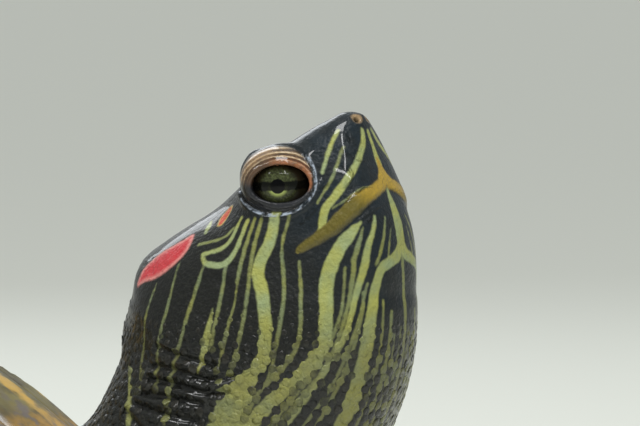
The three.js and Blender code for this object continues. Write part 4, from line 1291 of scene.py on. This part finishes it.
def skin_marks(points, normals):
    """The markings as distances in millimetres, negative inside each mark, and masks from 0 to 1."""
    local, turned = mirrored_head(points, normals)
    a, height = local[:, 0], points[:, 2]
    stripe = stripes_distance(local, turned, STRIPES.values())
    thin = stripes_distance(local, turned, THIN_STRIPES.values())

    on_neck = inside_box(points, neck.low, neck.high, 6.0) & (height < 74)
    start = 4.0 * smoothstep(63, 69, height[on_neck])
    for mark, lines in ((stripe, NECK_STRIPES), (thin, NECK_THIN)):
        along = round_distance(neck, points[on_neck], lines, True)
        mark[on_neck] = np.minimum(mark[on_neck], along + start)
    for limb in list(legs.values()) + [tail]:
        on_limb = inside_box(points, limb.low, limb.high, 8.0) & ~on_neck
        along = round_distance(limb, points[on_limb], LIMB_STRIPES, False)
        stripe[on_limb] = np.minimum(stripe[on_limb], along)

    beak = beak_distance(local, stripe_distance(local, turned, BEAK_FRONT))
    marks = {
        "stripe": stripe,
        "thin": thin,
        "beak": np.where(a > -20, beak, NOWHERE),
        "front": smoothstep(-5.5, -2.5, a),
        "red": stripe_distance(local, turned, RED_PATCH),
        "orange": stripe_distance(local, turned, ORANGE_SPOT),
        "face": smoothstep(-24, -4, a) * (a > -30) * (height > 60),
        "scaly": 1 - smoothstep(76, 88, height),
    }
    marks.update(lid_marks(points))
    marks["film"] = np.minimum(stripes_distance(local, turned, CREASES), marks["lid_rim"])
    return marks


def lid_marks(points):
    """Masks of the lids and nostrils, the distance out from the slit, and that from the lids' wet rim, where a
    highlight is painted.
    """
    marks = {name: np.zeros(len(points)) for name in ("lid", "lid_low", "lid_warm", "nostril")}
    marks.update({name: np.full(len(points), NOWHERE) for name in ("lid_out", "lid_rim")})
    for side in (1, -1):
        r, x, z, forward = lid_coordinates(points, side)
        ring = lid_ring(x, z)
        on = 1 - smoothstep(LID_CREASE - 0.35, LID_CREASE + 0.1, ring)
        on = on * smoothstep(0.3, 1.2, forward) * (r < 9)
        marks["lid"] = np.maximum(marks["lid"], on)
        found = {
            "lid_out": opening_shape(x, z),
            "lid_low": 1 - smoothstep(-0.7, 0.6, z + 0.12 * x),
            "lid_warm": smoothstep(-2.4, 1.2, x),
        }
        for name, values in found.items():
            marks[name] = np.where(on > 0, values, marks[name])
        # The rim line under the eye carries a painted highlight in the colour as well as the wet film's bump.
        over = z - 1.2 * np.maximum(x - 2, 0)
        around = np.abs(ring - LID_CREASE - 0.42) + 3 * smoothstep(1.5, 3.5, over) + (forward < 0) * NOWHERE
        marks["lid_rim"] = np.minimum(marks["lid_rim"], around)
        hole = head_point(NOSTRIL["a"] + 0.6, side * NOSTRIL["b"], NOSTRIL["c"])
        from_hole = np.linalg.norm(points - hole, axis=1)
        marks["nostril"] = np.maximum(marks["nostril"], 1 - smoothstep(0.7, 1.2, from_hole))
    return marks


# ---- scales ----
SCALE_SIDES = 8
SCALE_ROWS = [(0.5, 0.9), (0.85, 0.5), (1.0, -0.15)]
SCALE_LONG = 1.12
SCALE_HIGH = 0.15
SCALE_TILT = 0.16
SCALE_GAPS = {"neck": 1.25, "leg": 2.1, "tail": 1.6}
SCALE_HALF = 0.56
SCALE_TOP = 86
ROOT_SEED = 11
SCALE_SEED = 31
# The unwrap has a square for each tube, in rows of three, and each scale a small patch in it.
CHARTS_A_SIDE = 3
CHART = 0.31
CHART_PATCH = 0.0015


def pick_roots(points, spacing, seed):
    """Indices of points that keep their own spacing from one another, in a seeded random order."""
    order = np.random.default_rng(seed).permutation(len(points))
    keys = np.floor(points / spacing.max()).astype(int)
    taken = {}
    kept = []
    for i in order:
        x, y, z = keys[i]
        cells = itertools.product((x - 1, x, x + 1), (y - 1, y, y + 1), (z - 1, z, z + 1))
        near = [j for cell in cells for j in taken.get(cell, ())]
        gap = points[near] - points[i]
        if len(near) and (gap * gap).sum(1).min() < spacing[i] ** 2:
            continue
        taken.setdefault((x, y, z), []).append(i)
        kept.append(i)
    return np.array(kept)


def scale_template():
    """A low shield, from its middle out: shares of the half length, half width and height, and its faces."""
    turn = np.linspace(0, 2 * math.pi, SCALE_SIDES, endpoint=False)
    points = [(0.0, 0.0, 1.0)]
    for reach, high in SCALE_ROWS:
        points += [(reach * math.cos(t), reach * math.sin(t), high) for t in turn]
    faces = [(0, 1 + j, 1 + (j + 1) % SCALE_SIDES) for j in range(SCALE_SIDES)]
    for first in range(1, 1 + SCALE_SIDES * (len(SCALE_ROWS) - 1), SCALE_SIDES):
        for j in range(SCALE_SIDES):
            a, b = first + j, first + (j + 1) % SCALE_SIDES
            faces += [(a, a + SCALE_SIDES, b + SCALE_SIDES), (a, b + SCALE_SIDES, b)]
    return np.array(points), np.array(faces)


def build_scales(name, roots, normals, lies, sizes, charts, marks, material, seed):
    """One mesh of many scales that lie back along the body, each in its root's colours."""
    random = np.random.default_rng(seed)
    shape, faces = scale_template()
    lies = lies - (lies * normals).sum(1)[:, None] * normals
    lies /= np.maximum(np.linalg.norm(lies, axis=1), 1e-9)[:, None]
    sides = np.cross(normals, lies)
    half = sizes[:, None] * random.uniform(0.92, 1.1, (len(roots), 1))
    long = half * SCALE_LONG
    high = sizes[:, None] * SCALE_HIGH
    wobble = 1 + 0.1 * random.standard_normal((len(roots), len(shape)))
    x = shape[None, :, 0] * long * wobble
    y = shape[None, :, 1] * half * wobble
    z = shape[None, :, 2] * high + SCALE_TILT * high * (x / long)
    world = roots[:, None] + x[..., None] * lies[:, None] + y[..., None] * sides[:, None]
    world = world + z[..., None] * normals[:, None]
    world[..., 2] = np.maximum(world[..., 2], 0.0)
    count = len(shape)
    every = (faces[None] + count * np.arange(len(roots))[:, None, None]).reshape(-1, 3)
    piece = make_mesh(name, to_metres(world.reshape(-1, 3)), every)
    for mark, values in marks.items():
        set_attribute(piece, mark, np.repeat(values, count))
    set_attribute(piece, "tone", np.repeat(random.uniform(0, 1, len(roots)), count))
    patch = charts[:, None] + CHART_PATCH * shape[None, :, :2]
    layer = piece.data.uv_layers.new(name="OFBake")
    layer.data.foreach_set("uv", patch.reshape(-1, 2)[every.ravel()].astype(np.float32).ravel())
    piece.data.materials.append(material)
    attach(piece, "root")


def tube_chart(tube, points, number):
    """Places on an unrolled tube, in its own square of the whole unwrap."""
    place, across, up, _, _, _ = tube.nearest(points)
    corner = np.array([number % CHARTS_A_SIDE, number // CHARTS_A_SIDE]) / CHARTS_A_SIDE + 0.01
    around = (np.degrees(np.arctan2(across, up)) + 180) / 360
    return corner + CHART * np.stack([place / tube.length[-1], around], 1)


def scale_gaps(key, stripe, rise):
    """How far apart the scales stand: wider on the neck's stripes, closer on the feet."""
    gap = np.full(len(rise), SCALE_GAPS["leg" if "leg" in key else key])
    if key == "neck":
        return gap + 0.25 * smoothstep(0.3, -0.3, stripe) * smoothstep(74, 66, rise)
    return gap - 0.7 * smoothstep(12, 4, rise)


def cover_with_scales(points, normals, marks, material):
    """Scales on the neck, the limbs with their feet, and the tail, up to the smooth skin of the head."""
    rise = points[:, 2]
    u, v, _ = to_shell(points).T
    share, _ = shell_polar(u, v)
    outside = (share > 0.8) | (points[:, 0] > 92)
    hidden = trunk_distance(points) < 0.9
    free = outside & ~hidden & (rise > 0.5) & (rise < SCALE_TOP)
    regions = {"neck": neck, **legs, "tail": tail}
    for number, (key, tube) in enumerate(regions.items()):
        margin, reach = (16.0, 9.0) if "leg" in key else (3.0, 1.5)
        near = free & inside_box(points, tube.low, tube.high, margin)
        near[near] = tube.distance(points[near]) < reach
        index = np.nonzero(near)[0]
        gap = scale_gaps(key, marks["stripe"][index], rise[index])
        chosen = pick_roots(points[index], gap, ROOT_SEED + number)
        at = index[chosen]
        half = gap[chosen] * SCALE_HALF
        if key == "neck":
            half = half * (1 - 0.7 * smoothstep(76, SCALE_TOP, rise[at]))
        lies = tube.tangent[nearest_sample(tube, points[at])]
        charts = tube_chart(tube, points[at], number)
        some = {mark: values[at] for mark, values in marks.items()}
        name = key + "_scales"
        build_scales(name, points[at], normals[at], lies, half, charts, some, material, SCALE_SEED + number)
        free[index] = False


def nearest_sample(tube, points):
    return np.array([((tube.centre - p) ** 2).sum(1).argmin() for p in points])


# ---- eyes and claws ----
CLAW_ROWS = 16
CLAW_COLUMNS = 14
CLAW_INSIDE = 0.12  # the share of its length that a claw reaches back into its toe
CLAW_DROOP = 1.75
CLAW_RADIUS = 1.3524
CLAW_TIP_RADIUS = 0.03


def ball(rows, columns):
    """Points and quads of a unit ball whose pole is +Z."""
    polar = np.linspace(0.001, math.pi - 0.001, rows)
    turn = np.linspace(0, 2 * math.pi, columns, endpoint=False)
    p, t = np.meshgrid(polar, turn, indexing="ij")
    points = np.stack([np.sin(p) * np.cos(t), np.sin(p) * np.sin(t), np.cos(p)], -1).reshape(-1, 3)
    return points, tube_quads(rows, columns)


def tube_quads(rows, columns):
    i, j = np.meshgrid(np.arange(rows - 1), np.arange(columns), indexing="ij")
    a = i * columns + j
    b = i * columns + (j + 1) % columns
    return np.stack([a, a + columns, b + columns, b], -1).reshape(-1, 4)


def build_eye(name, side, material):
    look, slit, across = eye_axes(side)
    axes = np.stack([slit, across, look])
    points, quads = ball(48, 72)
    angle = np.arccos(np.clip(points[:, 2], -1, 1))
    bulge = 1 + EYE_BULGE * (1 - smoothstep(0.35, 0.8, angle))
    world = eye_centre(side) + (points * bulge[:, None] * EYE["radius"]) @ axes
    if np.linalg.det(axes) < 0:
        quads = quads[:, ::-1]
    eye = make_mesh(name, to_metres(world), quads)
    set_attribute(eye, "gaze", angle)
    set_attribute(eye, "bar", points[:, 1] * EYE["radius"])
    eye.data.materials.append(material)
    return eye


def build_claw(name, root, direction, length, material):
    """A claw that curves down from its toe to a blunt point."""
    share = np.linspace(-CLAW_INSIDE, 1, CLAW_ROWS)
    out = np.clip(share, 0, 1)
    side = np.array([-direction[1], direction[0], 0.0])
    centre = root + direction * (share * length)[:, None]
    centre[:, 2] -= CLAW_DROOP * out**2
    radius = CLAW_RADIUS * np.sqrt(np.clip(1 - out**1.5, 0, 1)) + CLAW_TIP_RADIUS
    turn = np.linspace(0, 2 * math.pi, CLAW_COLUMNS, endpoint=False)
    tangent = np.gradient(centre, axis=0)
    tangent /= np.linalg.norm(tangent, axis=1)[:, None]
    up = np.cross(tangent, side)
    sideways = (radius[:, None] * np.cos(turn))[..., None] * side
    upwards = (radius[:, None] * 1.12 * np.sin(turn))[..., None] * up[:, None]
    ring = centre[:, None] + sideways + upwards
    ring[..., 2] = np.maximum(ring[..., 2], 0.02)
    claw = make_mesh(name, to_metres(ring.reshape(-1, 3)), tube_quads(CLAW_ROWS, CLAW_COLUMNS))
    set_attribute(claw, "along", np.repeat(out, CLAW_COLUMNS))
    claw.data.materials.append(material)
    return claw


# ---- shell ----
# Seams between the plates. Places forward are shares of half the length, and widths are in millimetres.
HALF_LENGTH = SHELL_LENGTH / 2
VERTEBRAL_EDGE = [
    (0.86, 21), (0.55, 17), (0.35, 25), (0.16, 17), (-0.04, 26), (-0.24, 17), (-0.42, 23), (-0.6, 14),
    (-0.88, 28),
]
VERTEBRAL_SEAMS = [0.55, 0.16, -0.24, -0.6]
COSTAL_SEAMS = [((0.35, 25), 0.4), ((-0.04, 26), -0.07), ((-0.42, 23), -0.52)]
COSTAL_REACH = SHELL_WIDTH / 2 + 10
NUCHAL_HALF = 5.0
MARGINALS_A_SIDE = 12
SHELL_GRID = 236
# Rows round the rim, by share of the plan and drop below it, and rows on under the shell, by share.
RIM_ROWS = [(1.002, 0.9), (1.006, 2.2), (1.003, 3.6), (0.99, 5.0), (0.972, 6.2), (0.95, 7.0), (0.92, 7.4)]
UNDER_ROWS = [0.89, 0.86, 0.83, 0.8]
# The plain stretch at the plastron's back end: where it starts, its length and its half width.
PLASTRON_BACK = {"u": -87, "long": 10, "half": 13}
PLASTRON_GRID = (220, 101)
BRIDGE_GRID = (90, 40)
# The plastron's outline, forward and half width; its seams, forward and slant; its blotches with radii.
PLASTRON_EDGE = [
    (97, 0.5), (94, 12), (93, 24), (80, 35), (56, 41), (30, 46), (-30, 46), (-52, 41), (-80, 36), (-95, 22),
    (-97, 13),
]
PLASTRON_SEAMS = [(77, 5), (53, -5), (17, -4), (-27, 3), (-62, 6)]
PLASTRON_BLOTCHES = [(86, 9, 5), (64, 19, 9), (35, 24, 12), (-5, 25, 13), (-44, 22, 11), (-79, 19, 9)]
# The bridge's profile, out and up, and its ends, forward.
BRIDGE_OUTSIDE = [(46.4, 0.3), (56, 3.5), (65, 10), (71.5, 19), (75, 34)]
BRIDGE_ENDS = (-40.0, 38.0)
BRIDGE_WIDE = 46  # round its outside, in millimetres
BRIDGE_TURN = 9
BRIDGE_SEAMS = [((17, -5), (14, 50)), ((-27, -5), (-24, 50)), ((-60, 17), (60, 17))]
BRIDGE_BLOTCHES = (-32, -6, 26)
COSTAL_BAR_TOPS = (0.5, -0.62)
COSTAL_BAR_LOWS = (0.72, -0.88)
VERTEBRAL_BARS = (0.8, 0.5, 0.11, -0.29, -0.65)
BAR_HALF = 1.9


def segment_distance(u, v, start, end):
    du, dv = end[0] - start[0], end[1] - start[1]
    t = np.clip(((u - start[0]) * du + (v - start[1]) * dv) / (du * du + dv * dv), 0, 1)
    return np.hypot(u - start[0] - t * du, v - start[1] - t * dv)


def lines_distance(u, v, lines):
    return np.min([segment_distance(u, v, a, b) for a, b in lines], axis=0)


def shell_plan(share, angle):
    along = signed_power(np.cos(angle), 2 / PLAN_POWER)
    sideways = signed_power(np.sin(angle), 2 / PLAN_POWER)
    u = HALF_LENGTH * share * along
    v = SHELL_WIDTH / 2 * (1 - REAR_FLARE * u / HALF_LENGTH) * share * sideways
    return u, v, along


def marginal_angles():
    """Directions of the seams between the marginal plates of one side, evenly spaced along the rim."""
    angle = np.linspace(0, math.pi, 2000)
    u, v, _ = shell_plan(0.92, angle)
    length = np.concatenate([[0], np.cumsum(np.hypot(np.diff(u), np.diff(v)))])
    first = np.interp(NUCHAL_HALF, v[:1000], length[:1000])
    return np.interp(np.linspace(first, length[-1], MARGINALS_A_SIDE + 1), length, angle)


def plate_seams():
    """Seams of the upper plates as pairs of places on one side."""
    edge = [(t * HALF_LENGTH, half) for t, half in VERTEBRAL_EDGE]
    seams = list(zip(edge[:-1], edge[1:]))
    for t in VERTEBRAL_SEAMS:
        seams.append(((t * HALF_LENGTH, 0), (t * HALF_LENGTH, dict(VERTEBRAL_EDGE)[t])))
    for (t, half), end in COSTAL_SEAMS:
        seams.append(((t * HALF_LENGTH, half), (end * HALF_LENGTH, COSTAL_REACH)))
    return seams


def rim_lines(angles):
    """Lines across the marginal plates in the given directions."""
    lines = []
    for angle in angles:
        u0, v0, _ = shell_plan(MARGINAL_SEAM, angle)
        u1, v1, _ = shell_plan(1.05, angle)
        lines.append(((u0, v0), (u1, v1)))
    return lines


def costal_bars():
    """A pale bar down the middle of each costal plate and short ones on the vertebral plates."""
    tops = [COSTAL_BAR_TOPS[0]] + [t for (t, _), _ in COSTAL_SEAMS] + [COSTAL_BAR_TOPS[1]]
    lows = [COSTAL_BAR_LOWS[0]] + [end for _, end in COSTAL_SEAMS] + [COSTAL_BAR_LOWS[1]]
    bars = []
    for k in range(4):
        top = (tops[k] + tops[k + 1]) / 2 * HALF_LENGTH
        low = (lows[k] + lows[k + 1]) / 2 * HALF_LENGTH
        bars.append(((top, 25), (low, SHELL_WIDTH / 2)))
    for t in VERTEBRAL_BARS:
        bars.append(((t * HALF_LENGTH, 9), ((t - 0.2) * HALF_LENGTH, 6)))
    return bars


def plate_of(u, v, share):
    """The CAD node that each place of the carapace belongs to."""
    side = np.where(v >= 0, "left", "right")
    v = np.abs(v)
    edge_t, edge_v = np.array(VERTEBRAL_EDGE[::-1]).T
    number = 1 + sum((u < t * HALF_LENGTH).astype(int) for t in VERTEBRAL_SEAMS)
    vertebral = np.char.add("vertebral_", number.astype(str))
    count = np.ones(u.shape, int)
    for (t, half), end in COSTAL_SEAMS:
        line = np.interp(v, [half, COSTAL_REACH], [t * HALF_LENGTH, end * HALF_LENGTH])
        count += (u < line).astype(int)
    costal = np.char.add(np.char.add(np.char.add("costal_", side), "_"), count.astype(str))
    plate = np.where(v < np.interp(u, edge_t * HALF_LENGTH, edge_v), vertebral, costal)
    rim = np.where((v < NUCHAL_HALF) & (u > 0), "nuchal", np.char.add("marginals_", side))
    return np.where(share > MARGINAL_SEAM, rim, plate)


def grid_quads(grid):
    return np.stack([grid[:-1, :-1], grid[1:, :-1], grid[1:, 1:], grid[:-1, 1:]], -1).reshape(-1, 4)


def carapace_grid():
    """Shares, directions, rises and underside of the carapace: a squared grid, then rows round the rim."""
    n = SHELL_GRID
    x, y = np.meshgrid(np.linspace(-1, 1, n + 1), np.linspace(-1, 1, n + 1), indexing="ij")
    share = np.maximum(np.abs(x), np.abs(y)).ravel() * 0.996
    angle = np.arctan2(y, x).ravel()
    along = signed_power(np.cos(angle), 2 / PLAN_POWER)
    grid = np.arange((n + 1) ** 2).reshape(n + 1, n + 1)
    quads = [grid_quads(grid)]
    parts = [(share, angle, carapace_height(share, along), np.zeros(len(share)))]

    previous = np.concatenate([grid[:-1, 0], grid[-1, :-1], grid[:0:-1, -1], grid[0, :0:-1]])
    edge_angle, edge_along = angle[previous], along[previous]
    start = len(share)
    for row, drop in RIM_ROWS + [(row, None) for row in UNDER_ROWS]:
        full = np.full(len(edge_angle), row)
        height = carapace_height(np.minimum(full, 1), edge_along)
        if drop is None:
            rise = height - carapace_wall(row)
        else:
            rise = np.minimum(rim_height(edge_along) - drop, height - min(drop, 7.4))
        below = 1.0 if drop is None or drop > 3 else 0.0
        parts.append((full, edge_angle, rise, np.full(len(full), below)))
        current = np.arange(start, start + len(full))
        quads.append(np.stack([previous, current, np.roll(current, -1), np.roll(previous, -1)], -1))
        previous, start = current, start + len(full)
    return map(np.concatenate, zip(*parts)), np.concatenate(quads)


def carapace_relief(u, v, share, under, seam, rims):
    """Plates that swell between their seams, with growth rings, a keel and creases under the rim."""
    swell = 0.9 * smoothstep(0, 11, seam) - 0.5 - 1.1 * bell(seam, 0.8)
    fade = smoothstep(1, 3, seam) * (1 - smoothstep(7, 15, seam))
    rings = 0.11 * np.sin(2 * math.pi * seam / 1.9 + 0.6 * np.sin(u / 9)) * fade
    keel = 0.9 * bell(v, 5) * (1 - smoothstep(0.7, 0.82, share))
    return np.where(under > 0, -0.4 * bell(rims, 0.8), swell + rings + keel)


def build_carapace(material):
    (share, angle, w, under), quads = carapace_grid()
    u, v, _ = shell_plan(share, angle)
    side = np.abs(v)
    seam_angles = marginal_angles()
    rims = lines_distance(u, side, rim_lines(seam_angles))
    ring = np.abs(share - MARGINAL_SEAM) * np.hypot(u, v) / np.maximum(share, 0.1)
    inner = share < MARGINAL_SEAM
    seam = np.minimum(np.where(inner, lines_distance(u, side, plate_seams()), rims), ring)

    local = np.stack([u, v, w], 1)
    normals = vertex_normals(local, quads)
    if normals[len(normals) // 3, 2] < 0:
        quads, normals = quads[:, ::-1], -normals
    local += normals * carapace_relief(u, v, share, under, seam, rims)[:, None]
    # Behind the middle, the rim is notched at each seam.
    notch = 1.5 * bell(rims, 1.6) * smoothstep(0.93, 1.0, share) * smoothstep(10, -70, u)
    local[:, :2] *= 1 - (notch / HALF_LENGTH)[:, None]

    plate_bars = lines_distance(u, side, costal_bars())
    rim_bars = lines_distance(u, side, rim_lines((seam_angles[:-1] + seam_angles[1:]) / 2))
    marks = {
        "seam": seam,
        "bars": np.where(inner, plate_bars, rim_bars) - BAR_HALF,
        "smudge": rims - 5.0 + 9 * (1 - under),
        "under": under,
        "rim": smoothstep(0.9, 0.995, share),
    }
    plate = plate_of(*(x[quads].mean(1) for x in (u, v, share)))
    world = to_metres(from_shell(local))
    for node in np.unique(plate):
        part = quads[plate == node]
        used, faces = np.unique(part, return_inverse=True)
        piece = make_mesh(node + "_scute", world[used], faces.reshape(-1, 4))
        for name, values in marks.items():
            set_attribute(piece, name, values[used])
        piece.data.materials.append(material)
        ride(piece, "marginals" if "marginals" in node else "carapace", str(node))


def plastron_piece(name, node, world, quads, seam, blotch, material):
    piece = make_mesh(name, to_metres(world), quads)
    set_attribute(piece, "seam", seam)
    set_attribute(piece, "smudge", blotch)
    piece.data.materials.append(material)
    ride(piece, "plastron", node)


def build_plastron(material):
    """The lower plate with its bevelled edge, and plain across the middle at its back end."""
    rows, columns = PLASTRON_GRID
    edge_u, edge_v = np.array(PLASTRON_EDGE[::-1], float).T
    u = np.linspace(edge_u[0], edge_u[-1], rows)
    half = np.interp(u, edge_u, edge_v)
    inner = np.clip((PLASTRON_BACK["u"] - u) / PLASTRON_BACK["long"], 0, 1) * PLASTRON_BACK["half"]
    t = np.linspace(-1, 1, columns)
    grow = np.sin(np.abs(t) * math.pi / 2) ** 0.9
    v = np.where(t > 0, 1, -1) * (inner[:, None] + (half - inner)[:, None] * grow)
    u = np.repeat(u[:, None], columns, 1)
    edge = np.minimum(half[:, None] - np.abs(v), np.minimum(u - edge_u[0], edge_u[-1] - u) + 0.4)
    seams = [((a, 0), (a + b, 50)) for a, b in PLASTRON_SEAMS] + [((-100, 0), (100, 0))]
    seam = lines_distance(u, np.abs(v), seams)
    at_edge = 1 - smoothstep(0, 2.4, edge)
    low = 1.6 * at_edge + 0.35 * bell(seam, 0.6) - 0.05 * np.sin(seam * 2.2) * smoothstep(1, 3, seam)
    top = PLASTRON_THICK - 0.4 * at_edge
    blotches = [np.hypot((u - a) / 1.25, np.abs(v) - b) - r for a, b, r in PLASTRON_BLOTCHES]
    blotch = np.min(blotches, axis=0)

    grid = np.arange(rows * columns).reshape(rows, columns)
    lower = np.stack([grid[:-1, :-1], grid[:-1, 1:], grid[1:, 1:], grid[1:, :-1]], -1).reshape(-1, 4)
    rim = np.concatenate([grid[0, :-1], grid[:-1, -1], grid[-1, :0:-1], grid[:0:-1, 0]])
    wall = np.stack([rim, rim + grid.size, np.roll(rim, -1) + grid.size, np.roll(rim, -1)], -1)
    quads = np.concatenate([lower, lower[:, ::-1] + grid.size, wall])[:, ::-1]
    world = from_shell(np.concatenate([np.stack([u, v, w], -1).reshape(-1, 3) for w in (low, top)]))
    # Its back end is worn level, just clear of the ground.
    world[:, 2] = np.maximum(world[:, 2], PLASTRON_CLEAR)
    marks = (np.tile(values.ravel(), 2) for values in (seam, blotch))
    plastron_piece("plastron_plate", "plastron", world, quads, *marks, material)


def build_bridge(node, side, material):
    """The wall between plastron and marginals, rounded in at its ends."""
    rows, columns = BRIDGE_GRID
    profile = catmull_rom(BRIDGE_OUTSIDE, columns - 1)
    u = np.linspace(*BRIDGE_ENDS, rows)
    end = np.minimum(u - BRIDGE_ENDS[0], BRIDGE_ENDS[1] - u)
    straight = np.clip(end / BRIDGE_TURN, 0, 1)
    turn = BRIDGE_TURN * (1 - np.sqrt(np.clip(1 - (1 - straight) ** 2, 0, 1)))
    share = np.linspace(0, 1, columns)
    v = profile[None, :, 0] - turn[:, None] * (0.25 + 0.75 * share)
    w = profile[None, :, 1] + turn[:, None] * 0.35 * (1 - share)
    u = np.repeat(u[:, None], columns, 1)
    across = np.repeat((share * BRIDGE_WIDE)[None], rows, 0)
    seam = lines_distance(u, across, BRIDGE_SEAMS)
    v = v - 0.35 * bell(seam, 0.7)
    blotch = np.min([np.hypot(u - a, (across - 24) / 1.3) - 6 for a in BRIDGE_BLOTCHES], axis=0)
    share_at, along = shell_polar(u, v)
    roof = carapace_height(np.minimum(share_at, 1), along) - CARAPACE_WALL_RIM + 1.5
    w = np.minimum(w, roof)
    quads = grid_quads(np.arange(rows * columns).reshape(rows, columns))
    if side < 0:
        quads = quads[:, ::-1]
    world = from_shell(np.stack([u, side * v, w], -1).reshape(-1, 3))
    plastron_piece(node + "_wall", node, world, quads, seam, blotch, material)


# ---- camera, light and floor ----
# The camera's direction in degrees, distance in millimetres, lens, and the eye's place in the picture.
CAMERA_AZIMUTH = 30.0
CAMERA_ELEVATION = 3.0
CAMERA_DISTANCE = 800.0
CAMERA_LENS = 297.0
CAMERA_SENSOR = 36
PIXELS_PER_MM = 6.6
EYE_PIXEL = (282, 184)
PICTURE = (640, 426)
SKY = (0.82, 0.86, 0.84, 1)
SKY_STRENGTH = 0.45
SUN = {"power": 1.35, "angle": 50, "lean": (28, 14)}
BODY_AIM = (0.12, 0, 0.08)
HEAD_AIM = (0.155, -0.01, 0.105)
# Area lights: place, aim, size, watts, colour. Narrow strips give the wet skin its small bright lights.
AREA_LIGHTS = {
    "overhead": ((0.2, -0.15, 0.85), BODY_AIM, (0.35, 0.2), 4.0, (1, 1, 1)),
    "key": ((0.7, -0.75, 0.6), BODY_AIM, (0.16, 0.4), 3.0, (1.0, 0.97, 0.92)),
    "back": ((-0.6, 0.7, 0.6), (0.1, 0, 0.08), (0.5, 0.4), 1.9, (0.92, 0.96, 1.0)),
    "strip_high": ((0.5, -0.3, 0.8), HEAD_AIM, (0.05, 0.3), 1.2, (1, 1, 1)),
    "strip_rear": ((-0.2, -0.55, 0.75), HEAD_AIM, (0.05, 0.3), 1.2, (1, 1, 1)),
    "strip_long": ((0.52, -0.42, 0.66), HEAD_AIM, (0.5, 0.02), 0.9, (1, 1, 1)),
}
FLOOR_HALF = 20.0


def place_camera():
    az, el = math.radians(CAMERA_AZIMUTH), math.radians(CAMERA_ELEVATION)
    right = np.array([math.cos(az), math.sin(az), 0])
    back = np.array([math.sin(az) * math.cos(el), -math.cos(az) * math.cos(el), math.sin(el)])
    up = np.cross(back, right)
    eye = eye_centre(-1)
    target = eye + right * (PICTURE[0] / 2 - EYE_PIXEL[0]) / PIXELS_PER_MM
    target = target - up * (PICTURE[1] / 2 - EYE_PIXEL[1]) / PIXELS_PER_MM
    data = bpy.data.cameras.new("camera")
    data.lens = CAMERA_LENS
    data.sensor_width = CAMERA_SENSOR
    data.clip_start = 0.01
    camera = bpy.data.objects.new("camera", data)
    bpy.context.scene.collection.objects.link(camera)
    camera.location = to_metres(target + back * CAMERA_DISTANCE)
    camera.rotation_euler = Vector(back).to_track_quat("Z", "Y").to_euler()
    bpy.context.scene.camera = camera
    bpy.context.scene.view_settings.view_transform = "Standard"


def add_light(name, kind):
    data = bpy.data.lights.new(name, kind)
    light = bpy.data.objects.new(name, data)
    bpy.context.scene.collection.objects.link(light)
    return light, data


def add_area_light(name, place, aim, size, power, colour):
    light, data = add_light(name, "AREA")
    data.shape = "RECTANGLE"
    data.size, data.size_y = size
    data.energy = power
    data.color = colour
    light.location = place
    light.rotation_euler = (Vector(place) - Vector(aim)).to_track_quat("Z", "Y").to_euler()
    return light


def light_scene():
    world = bpy.data.worlds.new("studio")
    world.use_nodes = True
    background = world.node_tree.nodes["Background"]
    background.inputs[0].default_value = SKY
    background.inputs[1].default_value = SKY_STRENGTH
    bpy.context.scene.world = world
    sky, data = add_light("skylight", "SUN")
    data.energy = SUN["power"]
    data.angle = math.radians(SUN["angle"])
    sky.rotation_euler = (*(math.radians(lean) for lean in SUN["lean"]), 0)
    lights = {name: add_area_light(name, *values) for name, values in AREA_LIGHTS.items()}
    for light in (sky, lights["key"]):
        light.visible_glossy = False


def build_floor():
    corners = [(x * FLOOR_HALF, y * FLOOR_HALF, 0) for x, y in ((-1, -1), (1, -1), (1, 1), (-1, 1))]
    floor = make_mesh("floor", corners, [(0, 1, 2, 3)])
    floor.data.materials.append(Shader("studio_floor").finish(FLOOR_GREY, 0.6))


# ---- assembly ----
SKIN_NODES = ["head", "lower_jaw", "neck", "trunk", "tail"] + list(legs) + list(feet)


def main():
    place_camera()
    light_scene()
    build_floor()
    points, quads = build_skin()
    points = press_folds(points, vertex_normals(points, quads))
    skin = make_mesh("skin", to_metres(points), quads)
    look = skin_material()
    skin.data.materials.append(look)
    normals = vertex_normals(points, quads)
    marks = skin_marks(points, normals)
    for name, values in marks.items():
        set_attribute(skin, name, values)
    set_attribute(skin, "tone", np.full(len(points), 0.2))
    cover_with_scales(points, normals, marks, look)
    ride(skin, "skin", *SKIN_NODES)
    eye_look = eye_material()
    for name, side in (("eye_left", 1), ("eye_right", -1)):
        ride(build_eye(name + "_ball", side, eye_look), "eye", name)
    claw_look = claw_material()
    for foot_name, foot in feet.items():
        for i, (root, direction, length) in enumerate(foot.claws, 1):
            node = f"{foot_name}_claw_{i}"
            ride(build_claw(node + "_horn", root, direction, length, claw_look), "claw", node)
    build_carapace(carapace_material())
    plastron_look = plastron_material()
    build_plastron(plastron_look)
    for node, side in (("bridge_left", 1), ("bridge_right", -1)):
        build_bridge(node, side, plastron_look)


main()
